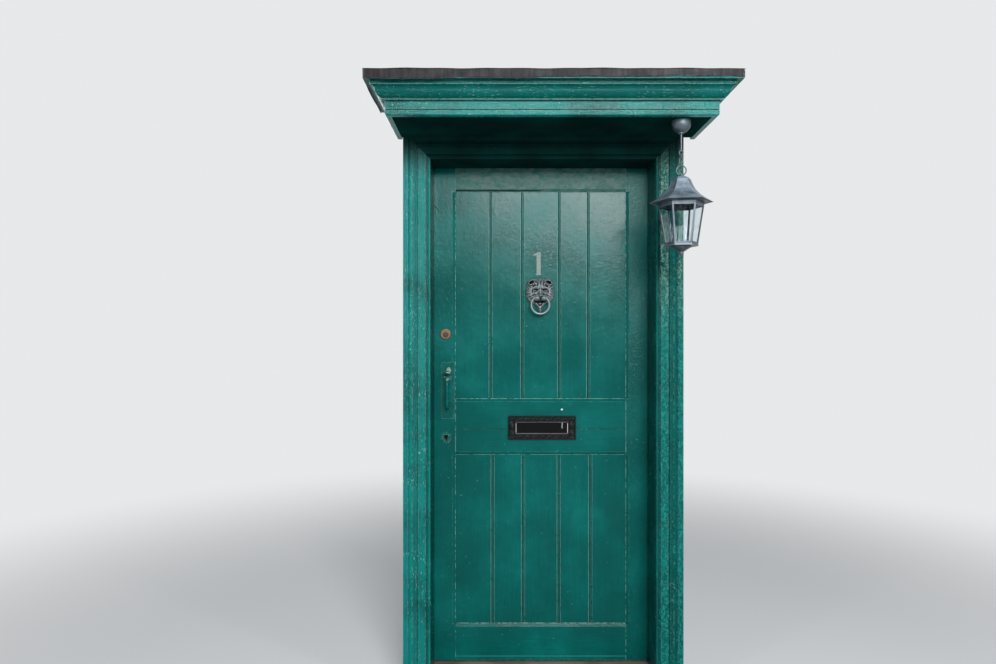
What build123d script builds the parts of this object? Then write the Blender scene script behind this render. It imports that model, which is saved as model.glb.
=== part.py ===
from build123d import *
from math import cos, pi, radians, sin
import os

# A framed and boarded cottage front door in its moulded frame, under a leaded hood with a
# hanging lantern. X runs to the right seen from outside, Y into the house and Z up. The
# origin is in the middle of the threshold's underside, level with the front of the frame.

# Doorway and frame
opening_width = 860.0
opening_height = 1985.0
reveal_depth = 149.5
rebate_depth = 10.0
jamb_thickness = 70.0
head_thickness = 70.0
threshold_height = 50.0
threshold_nosing = 40.0
threshold_tail = 6.0
architrave_width = 103.0
architrave_thickness = 25.0
fixing_hole_radius = 4.0
fixing_low_height = 500.0
fixing_spacing = 1000.0

# Leaf
leaf_thickness = 44.0
leaf_edge_gap = 3.0
leaf_foot_gap = 4.0
stop_gap = 0.5
stile_width = 94.0
top_rail_depth = 102.0
mid_rail_top = 1108.0
mid_rail_joint = 985.0
mid_rail_bottom = 881.0
bottom_rail_top = 202.0
panel_chamfer = 12.0
tenon_length = 20.0
tenon_thickness = 14.0
tenon_shoulder = 22.0

# Boards in the two panels
board_thickness = 16.0
board_setback = 8.0
groove_depth = 10.0
board_engagement = 8.0
board_gap = 0.8
fit_gap = 0.2
tongue_length = 6.0
tongue_thickness = 6.0
bead_width = 9.0
quirk_width = 2.5
upper_joints = [-196.0, -68.5, 80.5, 198.0]
lower_joints = [-188.0, -65.0, 79.0, 206.5]

# Butt hinges
hinge_height = 100.0
hinge_plate_width = 30.0
hinge_plate = 2.5
knuckle_radius = 5.5
knuckle_offset = 6.0
knuckle_count = 5
knuckle_gap = 0.4
pin_radius = 3.0
running_clearance = 0.05
pin_head_height = 3.0
hinge_from_top = 150.0
hinge_from_foot = 225.0
screw_radius = 2.2
screw_head_radius = 4.2
screw_length = 28.0
screw_edge = 8.0
screw_stagger = 9.0

# Hood
hood_shift = 13.0
hood_margin = 38.0
hood_projection = 258.0
soffit_rise = 10.0
hood_board = 20.0
soffit_thickness = 18.0
fascia_height = 103.0
cornice_projection = 44.0
top_board_overhang = 62.0
top_board_thickness = 28.0
top_board_fall = 16.0
lead_thickness = 2.5
lead_lip_drop = 4.0
lead_upstand = 60.0

# Letter plate
letter_x = 4.5
letter_z = 990.0
letter_width = 272.0
letter_height = 95.0
letter_thickness = 8.0
flap_width = 206.0
flap_height = 44.0
flap_thickness = 3.0
flap_gap = 1.5
flap_pivot_radius = 2.0
letter_ear = 6.0

# Knocker
knocker_x = -3.0
knocker_z = 1543.0
mane_width = 94.0
mane_height = 76.0
mane_locks = 14
lock_radius = 9.5
knocker_plate = 9.0
ring_radius = 36.0
ring_wire = 4.0
ring_play = 0.4
ring_stand_off = 31.0
ring_pivot_z = 1520.5
striker_z = 1449.0

# House number
number_x = -8.0
number_bottom = 1605.5
number_height = 93.0
number_stem = 17.0
number_thickness = 3.0

# Night latch
cylinder_inset = 47.0
cylinder_rise = 113.0
collar_radius = 21.5
collar_height = 6.0
cylinder_radius = 15.5
cylinder_drop = 4.0
plug_radius = 6.5
night_case_width = 92.0
night_case_height = 66.0
night_case_depth = 28.0
night_bolt_travel = 16.0
night_bolt_size = 18.0
knob_radius = 14.0
knob_length = 24.0
keep_stand_off = 5.0
keep_width = 34.0

# Thumb latch
latch_inset = 56.0
latch_plate_width = 54.0
latch_plate_bottom = 1027.0
latch_plate_top = 1255.0
latch_plate_thickness = 4.0
grip_radius = 6.5
grip_reach = 44.0
grip_bottom = 1068.0
grip_top = 1190.0
lever_z = 1215.0
lever_width = 8.0
lever_thickness = 5.0
lever_inside = 18.0
thumb_pad_radius = 14.0
bar_pivot_inset = 79.0
bar_height = 22.0
bar_thickness = 5.0
bar_stand_off = 3.5
bar_tip_reach = 31.0
bar_lift_gap = 0.7
keeper_lip = 14.0

# Mortice lock
lock_inset = 49.5
lock_z = 952.0
lock_case_depth = 70.0
lock_case_height = 130.0
lock_case_thickness = 16.0
lock_forend = 3.0
forend_height = 160.0
forend_width = 22.0
keyhole_radius = 6.0
keyhole_drop = 14.0
keyhole_slot = 7.0
dead_bolt_height = 22.0
dead_bolt_thickness = 8.0
dead_bolt_rise = 34.0
dead_bolt_travel = 20.0
slide_gap = 0.4

# Lantern
lantern_inset = 114.0
lantern_y = -195.0
rose_radius = 33.0
rose_height = 45.0
hook_radius = 3.0
eye_radius = 7.0
eye_wire = 2.0
eye_drop = 111.0
link_wire = 1.6
link_bend = 5.6
chain_links = 3
hang_gap = 0.3
lantern_ring_radius = 17.0
lantern_ring_wire = 2.2
lantern_ring_drop = 173.3
loop_radius = 6.0
loop_wire = 2.0
lantern_turn = 8.0
roof_drops = [(110.0, 286.0), (86.0, 272.0), (67.0, 259.0), (50.0, 242.0), (40.0, 224.0),
              (33.0, 207.0), (26.0, 199.0), (12.0, 194.0)]
roof_skin = 3.0
body_top_radius = 78.6
body_below_eaves = 7.0
body_foot_radius = 57.0
body_height = 142.0
body_skin = 3.0
body_bar = 5.0
body_rail = 9.0
neck_height = 10.0
plate_thickness = 3.0
base_thickness = 4.0
pane_thickness = 2.0
pane_gap = 0.2
pane_lap = 0.3
pane_rebate = 5.0
finial_length = 38.0
holder_radius = 14.0
holder_length = 24.0

# Places worked out from the sizes above
half_opening = opening_width / 2
head_z = threshold_height + opening_height
leaf_front = reveal_depth + stop_gap
leaf_back = leaf_front + leaf_thickness
rebate_face = half_opening + rebate_depth
leaf_edge = rebate_face - leaf_edge_gap
leaf_bottom = threshold_height + leaf_foot_gap
leaf_top = head_z + rebate_depth - leaf_edge_gap
stile_inner = leaf_edge - stile_width
top_rail_bottom = leaf_top - top_rail_depth
jamb_outer = half_opening + jamb_thickness
architrave_outer = half_opening + architrave_width
architrave_top = head_z + architrave_width
board_front = leaf_front + board_setback
board_back = board_front + board_thickness
hinge_x = rebate_face - leaf_edge_gap / 2
hinge_y = leaf_back + knuckle_offset
low_hinge = leaf_bottom + hinge_from_foot + hinge_height / 2
high_hinge = leaf_top - hinge_from_top - hinge_height / 2
hinge_heights = [low_hinge, (low_hinge + high_hinge) / 2, high_hinge]
hood_half_width = architrave_outer + hood_margin
soffit_height = head_z + head_thickness + soffit_rise
fascia_top = soffit_height + fascia_height
hood_back = architrave_thickness
cylinder_x = -(half_opening - cylinder_inset)
cylinder_z = latch_plate_top + cylinder_rise
latch_x = -(half_opening - latch_inset)
bar_pivot_x = -(half_opening - bar_pivot_inset)
bar_tip_x = -(half_opening + bar_tip_reach)
lock_x = -(half_opening - lock_inset)
lever_pivot_y = leaf_front - latch_plate_thickness / 2
bar_bottom = lever_z + lever_thickness / 2 + bar_lift_gap
bar_z = bar_bottom + bar_height / 2
bar_front = leaf_back + bar_stand_off
plug_z = cylinder_z - cylinder_drop
dead_bolt_z = lock_z + dead_bolt_rise
lock_y = leaf_front + leaf_thickness / 2
lantern_x = hood_shift + hood_half_width - lantern_inset
eye_z = soffit_height - eye_drop
lantern_ring_z = soffit_height - lantern_ring_drop
roof_rings = [(radius, soffit_height - drop) for radius, drop in roof_drops]
body_top = (body_top_radius, roof_rings[0][1] - body_below_eaves)
body_bottom = (body_foot_radius, body_top[1] - body_height)
finial_bottom = body_bottom[1] - finial_length

os.makedirs("parts", exist_ok=True)


def save(piece, name):
    """Names a finished piece and writes its file."""
    piece.part.label = name
    export_step(piece.part, f"parts/{name}.step")


def save_group(pieces, name):
    """Writes several separate solids of one kind as one file."""
    group = Compound(label=name, children=[piece.solid() for piece in pieces])
    export_step(group, f"parts/{name}.step")


def block(x0, x1, y0, y1, z0, z1, mode=Mode.ADD):
    """A squared block between two corners."""
    with Locations(((x0 + x1) / 2, (y0 + y1) / 2, (z0 + z1) / 2)):
        Box(x1 - x0, y1 - y0, z1 - z0, mode=mode)


def rod(x, y, z, radius, length, turn, mode=Mode.ADD):
    """A round bar centred on a point and turned from upright."""
    with Locations((x, y, z)):
        Cylinder(radius, length, rotation=turn, mode=mode)


ALONG_X = (0, 90, 0)
ALONG_Y = (90, 0, 0)
UPRIGHT = (0, 0, 0)


def fixing_heights():
    return [fixing_low_height, fixing_low_height + fixing_spacing]


# Threshold and frame


def make_threshold():
    nose = threshold_nosing
    tail = leaf_back + threshold_tail
    with BuildPart() as threshold:
        with BuildSketch(Plane.YZ):
            with BuildLine():
                Polyline(
                    (-nose, 0), (tail, 0), (tail, threshold_height), (-5, threshold_height),
                    (-nose, threshold_height - 8), close=True,
                )
            make_face()
        extrude(amount=architrave_outer, both=True)
        front_top = threshold.edges().filter_by(Axis.X).group_by(Axis.Y)[0].sort_by(Axis.Z)[-1]
        fillet(front_top, 10)
    save(threshold, "threshold")


def make_jamb():
    """The left jamb, rebated for the leaf and bored for its two frame fixings."""
    with BuildPart() as left_jamb:
        block(-jamb_outer, -half_opening, architrave_thickness, leaf_back, threshold_height, head_z)
        block(
            -rebate_face, -half_opening, reveal_depth, leaf_back, threshold_height, head_z,
            mode=Mode.SUBTRACT,
        )
        for height in fixing_heights():
            rod(
                -jamb_outer, leaf_front + leaf_thickness / 2, height, fixing_hole_radius,
                4 * jamb_thickness, ALONG_X, mode=Mode.SUBTRACT,
            )
    return left_jamb


def screw_places(height):
    """Across the plate and up it: four screws in two staggered pairs."""
    middle = leaf_back - hinge_plate_width / 2 + 2
    outer = hinge_height / 2 - screw_edge - 4
    inner = outer - 24
    return [
        (middle - screw_stagger / 2, height + outer), (middle + screw_stagger / 2, height + inner),
        (middle + screw_stagger / 2, height - inner), (middle - screw_stagger / 2, height - outer),
    ]


def make_jambs():
    left = make_jamb()
    with BuildPart() as left_jamb:
        add(left.part)
        pocket = dead_bolt_travel + 6
        half = dead_bolt_height / 2 + 2
        block(
            -rebate_face - pocket, -rebate_face + 1, lock_y - 6, lock_y + 6,
            dead_bolt_z - half, dead_bolt_z + half, mode=Mode.SUBTRACT,
        )
        block(
            -rebate_face - lock_forend, -rebate_face + 1, lock_y - forend_width / 2,
            lock_y + forend_width / 2, lock_z - forend_height / 2, lock_z + forend_height / 2,
            mode=Mode.SUBTRACT,
        )
    save(left_jamb, "left_jamb")
    with BuildPart() as right_jamb:
        mirror(left.part, about=Plane.YZ)
        for height in hinge_heights:
            block(
                rebate_face - 1, rebate_face + hinge_plate, leaf_back - hinge_plate_width,
                leaf_back + 1, height - hinge_height / 2, height + hinge_height / 2,
                mode=Mode.SUBTRACT,
            )
            for y, z in screw_places(height):
                with Locations((rebate_face + screw_length / 2, y, z)):
                    Cylinder(screw_radius, screw_length + 1, rotation=ALONG_X, mode=Mode.SUBTRACT)
    save(right_jamb, "right_jamb")


def make_frame_head():
    with BuildPart() as frame_head:
        block(
            -jamb_outer, jamb_outer, architrave_thickness, leaf_back, head_z,
            head_z + head_thickness,
        )
        block(
            -rebate_face, rebate_face, reveal_depth, leaf_back, head_z, head_z + rebate_depth,
            mode=Mode.SUBTRACT,
        )
    save(frame_head, "frame_head")


def architrave_profile():
    """Section of the moulding: across from the doorway's edge, and back as minus."""
    band = architrave_width - 57
    strip = architrave_width - 19
    with BuildSketch() as profile:
        with BuildLine():
            Line((0, -architrave_thickness), (0, -9.5))
            ThreePointArc((0, -9.5), (4.5, -5), (9, -9.5))
            Polyline(
                (9, -9.5), (9, -13), (18, -13), (18, -6), (band, -6), (band, -10), (band + 5, -10),
                (band + 5, -8.5),
            )
            ThreePointArc((band + 5, -8.5), (band + 8.5, -5), (band + 12, -8.5))
            Polyline((band + 12, -8.5), (band + 12, -12), (strip - 15, -12), (strip - 15, -10))
            ThreePointArc((strip - 15, -10), (strip - 5, -7), (strip, 0))
            Polyline(
                (strip, 0), (architrave_width, 0), (architrave_width, -architrave_thickness),
                (0, -architrave_thickness),
            )
        make_face()
    return profile.sketch


def make_architraves():
    left_mitre = Plane(origin=(-half_opening, 0, head_z), z_dir=(1, 0, 1))
    right_mitre = Plane(origin=(half_opening, 0, head_z), z_dir=(-1, 0, 1))
    foot = Plane(origin=(-half_opening, 0, threshold_height), x_dir=(-1, 0, 0), z_dir=(0, 0, 1))
    with BuildPart() as left_architrave:
        with BuildSketch(foot):
            add(architrave_profile())
        extrude(amount=architrave_top - threshold_height)
        split(bisect_by=left_mitre, keep=Keep.BOTTOM)
    with BuildPart() as right_architrave:
        mirror(left_architrave.part, about=Plane.YZ)
    lintel = Plane(origin=(0, 0, head_z), x_dir=(0, 0, 1), z_dir=(1, 0, 0))
    with BuildPart() as head_architrave:
        with BuildSketch(lintel):
            add(architrave_profile())
        extrude(amount=architrave_outer, both=True)
        split(bisect_by=left_mitre, keep=Keep.TOP)
        split(bisect_by=right_mitre, keep=Keep.TOP)
    save(left_architrave, "left_architrave")
    save(right_architrave, "right_architrave")
    save(head_architrave, "head_architrave")


# Hood


def hood_plane(side):
    """Section planes on the fascia's outer faces, outward across and Z up."""
    if side == "front":
        return Plane(origin=(hood_shift, -hood_projection, 0), x_dir=(0, -1, 0), z_dir=(-1, 0, 0))
    corner = (hood_shift - hood_half_width, -hood_projection - 100, 0)
    return Plane(origin=corner, x_dir=(-1, 0, 0), z_dir=(0, 1, 0))


def hood_mitre(turn):
    corner = (hood_shift - turn * hood_half_width, -hood_projection, 0)
    return Plane(origin=corner, z_dir=(turn, -1, 0))


def fascia_profile():
    low, quirk = soffit_height, soffit_height + 17
    with BuildSketch() as profile:
        with BuildLine():
            Line((-hood_board, low), (-5, low))
            ThreePointArc((-5, low), (-1.5, low + 1.5), (0, low + 5))
            Polyline(
                (0, low + 5), (0, quirk), (-4, quirk), (-4, quirk + 4), (0, quirk + 4),
                (0, fascia_top), (-hood_board, fascia_top), (-hood_board, low),
            )
        make_face()
    return profile.sketch


def cornice_profile():
    low, top, out = fascia_top - 54, fascia_top, cornice_projection
    with BuildSketch() as profile:
        with BuildLine():
            Polyline((0, low), (10, low), (10, low + 5), (15, low + 7))
            ThreePointArc((15, low + 7), (25, low + 15), (out - 14, low + 28))
            ThreePointArc((out - 14, low + 28), (out - 9, low + 37), (out, low + 41))
            Polyline((out, low + 41), (out, top), (0, top), (0, low))
        make_face()
    return profile.sketch


def make_hood():
    inner = hood_half_width - hood_board
    fascia = mitred_run(fascia_profile())
    cornice = mitred_run(cornice_profile())
    save_group(fascia, "hood_fascia")
    save_group(cornice, "hood_cornice")
    with BuildPart() as hood_soffit:
        block(
            hood_shift - inner, hood_shift + inner, hood_board - hood_projection, 0,
            soffit_height, soffit_height + soffit_thickness,
        )
    save(hood_soffit, "hood_soffit")
    with BuildPart() as hood_back_rail:
        block(
            hood_shift - inner, hood_shift + inner, 0, hood_back, architrave_top, fascia_top,
        )
    save(hood_back_rail, "hood_back_rail")


def mitred_run(profile):
    """Three solids: the front length and the two returns, mitred at the hood's corners."""
    run_past = 100
    with BuildPart() as front:
        with BuildSketch(hood_plane("front")):
            add(profile)
        extrude(amount=hood_half_width + run_past, both=True)
        split(bisect_by=hood_mitre(1), keep=Keep.TOP)
        split(bisect_by=hood_mitre(-1), keep=Keep.TOP)
    with BuildPart() as left_return:
        with BuildSketch(hood_plane("side")):
            add(profile)
        extrude(amount=hood_projection + run_past + hood_back)
        split(bisect_by=hood_mitre(1), keep=Keep.BOTTOM)
    right_return = mirror(left_return.part, about=Plane.YZ.offset(hood_shift))
    return [front.part, left_return.part, right_return]


def make_hood_top():
    front = -hood_projection - top_board_overhang
    half = hood_half_width + top_board_overhang
    low, high = fascia_top + top_board_thickness, fascia_top + top_board_thickness + top_board_fall
    middle = Plane.YZ.offset(hood_shift)
    with BuildPart() as hood_top_board:
        with BuildSketch(middle):
            with BuildLine():
                Polyline(
                    (front, fascia_top), (hood_back, fascia_top), (hood_back, high), (front, low),
                    close=True,
                )
            make_face()
        extrude(amount=half, both=True)
    save(hood_top_board, "hood_top_board")
    lip = fascia_top - lead_lip_drop
    skin = lead_thickness
    with BuildPart() as lead_cover:
        with BuildSketch(middle):
            with BuildLine():
                Polyline(
                    (front - skin, lip), (front - skin, low + skin), (hood_back - skin, high + skin),
                    (hood_back - skin, high + lead_upstand), (hood_back, high + lead_upstand),
                    (hood_back, lip), close=True,
                )
            make_face()
        extrude(amount=half + skin, both=True)
        with BuildSketch(middle):
            with BuildLine():
                Polyline(
                    (front, lip - 1), (front, low), (hood_back, high), (hood_back + 1, high),
                    (hood_back + 1, lip - 1), close=True,
                )
            make_face()
        extrude(amount=half, both=True, mode=Mode.SUBTRACT)
    save(lead_cover, "lead_cover")


# Leaf: stiles, rails and boards


def tenon_spans():
    """Heights of each rail's stub tenons."""
    return [
        (top_rail_bottom + tenon_shoulder, leaf_top - tenon_shoulder),
        (mid_rail_joint + tenon_shoulder, mid_rail_top - tenon_shoulder),
        (mid_rail_bottom + tenon_shoulder, mid_rail_joint - tenon_shoulder),
        (leaf_bottom + tenon_shoulder, bottom_rail_top - tenon_shoulder),
    ]


def make_plain_stile():
    """The left stile with its panel grooves, slopes and mortices, before any furniture."""
    inner = -stile_inner
    middle = leaf_front + leaf_thickness / 2
    with BuildPart() as stile:
        block(-leaf_edge, inner, leaf_front, leaf_back, leaf_bottom, leaf_top)
        for low, high in ((bottom_rail_top, mid_rail_bottom), (mid_rail_top, top_rail_bottom)):
            block(
                inner - groove_depth, inner + 1, board_front - fit_gap, board_back + fit_gap,
                low - groove_depth, high + groove_depth, mode=Mode.SUBTRACT,
            )
            with BuildSketch(Plane.XY.offset(low)):
                with BuildLine():
                    Polyline(
                        (inner - panel_chamfer, leaf_front), (inner, board_front - fit_gap),
                        (inner + 1, leaf_front - 1), close=True,
                    )
                make_face()
            extrude(amount=high - low, mode=Mode.SUBTRACT)
        for low, high in tenon_spans():
            block(
                inner - tenon_length, inner + 1, middle - tenon_thickness / 2,
                middle + tenon_thickness / 2, low, high, mode=Mode.SUBTRACT,
            )
    return stile


def make_stiles():
    plain = make_plain_stile()
    with BuildPart() as left_stile:
        add(plain.part)
        rod(
            cylinder_x, lock_y, cylinder_z, cylinder_radius + fit_gap, 2 * leaf_thickness, ALONG_Y,
            mode=Mode.SUBTRACT,
        )
        slot = lever_width / 2 + 1.5
        block(
            latch_x - slot, latch_x + slot, leaf_front - 1, leaf_back + 1, lever_z - 5, lever_z + 9,
            mode=Mode.SUBTRACT,
        )
        block(
            -leaf_edge - 1, -leaf_edge + lock_forend, lock_y - forend_width / 2,
            lock_y + forend_width / 2, lock_z - forend_height / 2, lock_z + forend_height / 2,
            mode=Mode.SUBTRACT,
        )
        block(
            -leaf_edge, -leaf_edge + lock_case_depth, lock_y - lock_case_thickness / 2,
            lock_y + lock_case_thickness / 2, lock_z - lock_case_height / 2 + 10,
            lock_z + lock_case_height / 2 + 10, mode=Mode.SUBTRACT,
        )
        keyhole(leaf_front - 1, lock_y)
    save(left_stile, "left_stile")
    with BuildPart() as right_stile:
        mirror(plain.part, about=Plane.YZ)
        for height in hinge_heights:
            block(
                leaf_edge - hinge_plate, leaf_edge + 1, leaf_back - hinge_plate_width,
                leaf_back + 1, height - hinge_height / 2, height + hinge_height / 2,
                mode=Mode.SUBTRACT,
            )
            for y, z in screw_places(height):
                with Locations((leaf_edge - screw_length / 2, y, z)):
                    Cylinder(screw_radius, screw_length + 1, rotation=ALONG_X, mode=Mode.SUBTRACT)
    save(right_stile, "right_stile")


def keyhole(front, back):
    """Cuts a keyhole between two depths: a round eye with a slot under it."""
    rod(
        lock_x, (front + back) / 2, lock_z + 4, keyhole_radius, back - front, ALONG_Y,
        mode=Mode.SUBTRACT,
    )
    block(
        lock_x - keyhole_slot / 2, lock_x + keyhole_slot / 2, front, back,
        lock_z - keyhole_drop, lock_z + 4, mode=Mode.SUBTRACT,
    )


def make_rail(name, low, high, tenon, panel_above, slotted=False):
    """A rail between the stiles, grooved and sloped along the edge that faces its panel."""
    middle = leaf_front + leaf_thickness / 2
    reach = stile_inner + tenon_length
    level, away = (high, -1) if panel_above else (low, 1)
    groove_foot = level + away * groove_depth
    with BuildPart() as rail:
        block(-stile_inner, stile_inner, leaf_front, leaf_back, low, high)
        block(
            -reach, reach, middle - tenon_thickness / 2, middle + tenon_thickness / 2, *tenon,
        )
        block(
            -stile_inner, stile_inner, board_front - fit_gap, board_back + fit_gap,
            min(level, groove_foot), max(level, groove_foot), mode=Mode.SUBTRACT,
        )
        with BuildSketch(Plane.YZ):
            with BuildLine():
                Polyline(
                    (leaf_front, level + away * panel_chamfer), (board_front - fit_gap, level),
                    (leaf_front - 1, level - away), close=True,
                )
            make_face()
        extrude(amount=stile_inner, both=True, mode=Mode.SUBTRACT)
        if slotted:
            half = flap_width / 2 + letter_ear + 2
            block(
                letter_x - half, letter_x + half, leaf_front - 1, leaf_back + 1,
                letter_z - flap_height / 2 - 4, letter_z + flap_height / 2 + 6,
                mode=Mode.SUBTRACT,
            )
    save(rail, name)


def make_rails():
    top, upper, lower, bottom = tenon_spans()
    make_rail("top_rail", top_rail_bottom, leaf_top, top, False)
    make_rail("mid_rail_upper", mid_rail_joint, mid_rail_top, upper, True, slotted=True)
    make_rail("mid_rail_lower", mid_rail_bottom, mid_rail_joint, lower, False, slotted=True)
    make_rail("bottom_rail", leaf_bottom, bottom_rail_top, bottom, True)


def board_profile(left, right, first, last):
    """Section of one board: tongue and bead on its right edge, groove on its left."""
    front, back = board_front, board_back
    middle = (front + back) / 2
    tongue = tongue_thickness / 2
    slot = tongue + fit_gap
    bead = bead_width / 2
    with BuildSketch() as profile:
        with BuildLine():
            if first:
                Line((left, front), (left, back))
            else:
                deep = left + tongue_length + fit_gap
                Polyline(
                    (left, front), (left, middle - slot), (deep, middle - slot),
                    (deep, middle + slot), (left, middle + slot), (left, back),
                )
            if last:
                Polyline((left, back), (right, back), (right, front), (left, front))
            else:
                tip = right + tongue_length
                Polyline(
                    (left, back), (right, back), (right, middle + tongue), (tip, middle + tongue),
                    (tip, middle - tongue), (right, middle - tongue), (right, front + bead),
                )
                quirk = right - bead_width
                ThreePointArc((right, front + bead), (right - bead, front), (quirk, front + bead))
                Polyline(
                    (quirk, front + bead), (quirk - quirk_width, front + bead),
                    (quirk - quirk_width, front), (left, front),
                )
        make_face()
    return profile.sketch


def make_boards(panel, joints, low, high):
    edges = [-stile_inner - board_engagement, *joints, stile_inner + board_engagement]
    count = len(edges) - 1
    for place in range(count):
        first, last = place == 0, place == count - 1
        left = edges[place] + (0 if first else board_gap / 2)
        right = edges[place + 1] - (0 if last else board_gap / 2)
        with BuildPart() as board:
            with BuildSketch(Plane.XY.offset(low - board_engagement)):
                add(board_profile(left, right, first, last))
            extrude(amount=high - low + 2 * board_engagement)
        save(board, f"{panel}_board_{place + 1}")


# Hinges


def knuckle_span(number):
    """Lowest and highest point of a knuckle, from the hinge's foot."""
    step = hinge_height / knuckle_count
    return number * step + knuckle_gap / 2, (number + 1) * step - knuckle_gap / 2


def hinge_leaf(side, height):
    """One plate with its own knuckles; side is minus for the leaf and plus for the frame."""
    foot = height - hinge_height / 2
    face = leaf_edge - hinge_plate if side < 0 else rebate_face
    own = range(1, knuckle_count, 2) if side < 0 else range(0, knuckle_count, 2)
    other = range(0, knuckle_count, 2) if side < 0 else range(1, knuckle_count, 2)
    with BuildPart() as plate:
        block(
            face, face + hinge_plate, leaf_back - hinge_plate_width, hinge_y, foot,
            foot + hinge_height,
        )
        for number in other:
            low, high = knuckle_span(number)
            rod(
                hinge_x, hinge_y, foot + (low + high) / 2, knuckle_radius + knuckle_gap,
                high - low + 2 * knuckle_gap, UPRIGHT, mode=Mode.SUBTRACT,
            )
        for number in own:
            low, high = knuckle_span(number)
            rod(
                hinge_x, hinge_y, foot + (low + high) / 2, knuckle_radius, high - low, UPRIGHT,
            )
        rod(
            hinge_x, hinge_y, height, pin_radius + running_clearance, hinge_height + 2, UPRIGHT,
            mode=Mode.SUBTRACT,
        )
        for y, z in screw_places(height):
            rod(
                face + hinge_plate / 2, y, z, screw_head_radius, hinge_plate + 2, ALONG_X,
                mode=Mode.SUBTRACT,
            )
    return plate.part


def hinge_pin(height):
    with BuildPart() as pin:
        rod(hinge_x, hinge_y, height, pin_radius, hinge_height, UPRIGHT)
        for end in (-1, 1):
            rod(
                hinge_x, hinge_y, height + end * (hinge_height + pin_head_height) / 2,
                knuckle_radius - 0.5, pin_head_height, UPRIGHT,
            )
    return pin.part


def hinge_screws(side, height):
    """Countersunk screws through one plate into the wood beside it."""
    screws = []
    face = leaf_edge if side < 0 else rebate_face
    radius = screw_radius - running_clearance
    for y, z in screw_places(height):
        plane = Plane(origin=(face, y, z), z_dir=(side, 0, 0))
        with BuildPart() as screw:
            with BuildSketch(plane):
                Circle(screw_head_radius - running_clearance)
            with BuildSketch(plane.offset(hinge_plate)):
                Circle(radius)
            loft()
            with BuildSketch(plane.offset(hinge_plate)):
                Circle(radius)
            extrude(amount=screw_length - hinge_plate)
        screws.append(screw.part)
    return screws


def make_hinges():
    save_group([hinge_leaf(1, height) for height in hinge_heights], "frame_hinge_leaves")
    save_group([hinge_leaf(-1, height) for height in hinge_heights], "leaf_hinge_leaves")
    save_group([hinge_pin(height) for height in hinge_heights], "hinge_pins")
    frame_screws = [screw for height in hinge_heights for screw in hinge_screws(1, height)]
    leaf_screws = [screw for height in hinge_heights for screw in hinge_screws(-1, height)]
    save_group(frame_screws, "frame_hinge_screws")
    save_group(leaf_screws, "leaf_hinge_screws")


# Letter plate


def make_letter_plate():
    """A cast plate with a raised border, and two ears behind it for the flap's pins."""
    half_w, half_h = flap_width / 2 + flap_gap, flap_height / 2 + flap_gap
    face = Plane.XZ.offset(-leaf_front)
    pivot_z = letter_z + flap_height / 2 - flap_pivot_radius
    pivot_y = leaf_front + flap_pivot_radius + 1
    with BuildPart() as letter_plate:
        with BuildSketch(face):
            with Locations((letter_x, letter_z)):
                RectangleRounded(letter_width, letter_height, 5)
                RectangleRounded(2 * half_w, 2 * half_h, 3, mode=Mode.SUBTRACT)
        extrude(amount=letter_thickness)
        with BuildSketch(face.offset(letter_thickness)):
            with Locations((letter_x, letter_z)):
                Rectangle(letter_width - 12, letter_height - 12)
                Rectangle(2 * half_w + 10, 2 * half_h + 10, mode=Mode.SUBTRACT)
        extrude(amount=-2, mode=Mode.SUBTRACT)
        for end in (-1, 1):
            near = letter_x + end * half_w
            far = near + end * letter_ear
            block(
                min(near, far), max(near, far), leaf_front, pivot_y + 5, pivot_z - 5, pivot_z + 5,
            )
            rod(
                (near + far) / 2, pivot_y, pivot_z, flap_pivot_radius + running_clearance,
                letter_ear + 4, ALONG_X, mode=Mode.SUBTRACT,
            )
    save(letter_plate, "letter_plate")
    with BuildPart() as letter_flap:
        front = pivot_y - flap_pivot_radius
        block(
            letter_x - flap_width / 2, letter_x + flap_width / 2, front, front + flap_thickness,
            letter_z - flap_height / 2, pivot_z + flap_pivot_radius,
        )
        rod(letter_x, pivot_y, pivot_z, flap_pivot_radius, flap_width, ALONG_X)
        rod(
            letter_x, pivot_y, pivot_z, flap_pivot_radius, flap_width + 2 * flap_gap + 8, ALONG_X,
        )
    save(letter_flap, "letter_flap")


# Knocker and number


def capsule(start, end, radius):
    """A round-ended bar between two points."""
    run = Vector(*end) - Vector(*start)
    with Locations(Plane(origin=Vector(*start) + run / 2, z_dir=run)):
        Cylinder(radius, run.length)
    with Locations(start, end):
        Sphere(radius)


def mane_places():
    """Middles of the mane's locks, evenly spaced round the face."""
    turns = [2 * pi * (place + 0.5) / mane_locks for place in range(mane_locks)]
    return [
        (knocker_x + mane_width / 2 * sin(turn), board_front - 7, knocker_z + mane_height / 2 * cos(turn))
        for turn in turns
    ]


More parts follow.
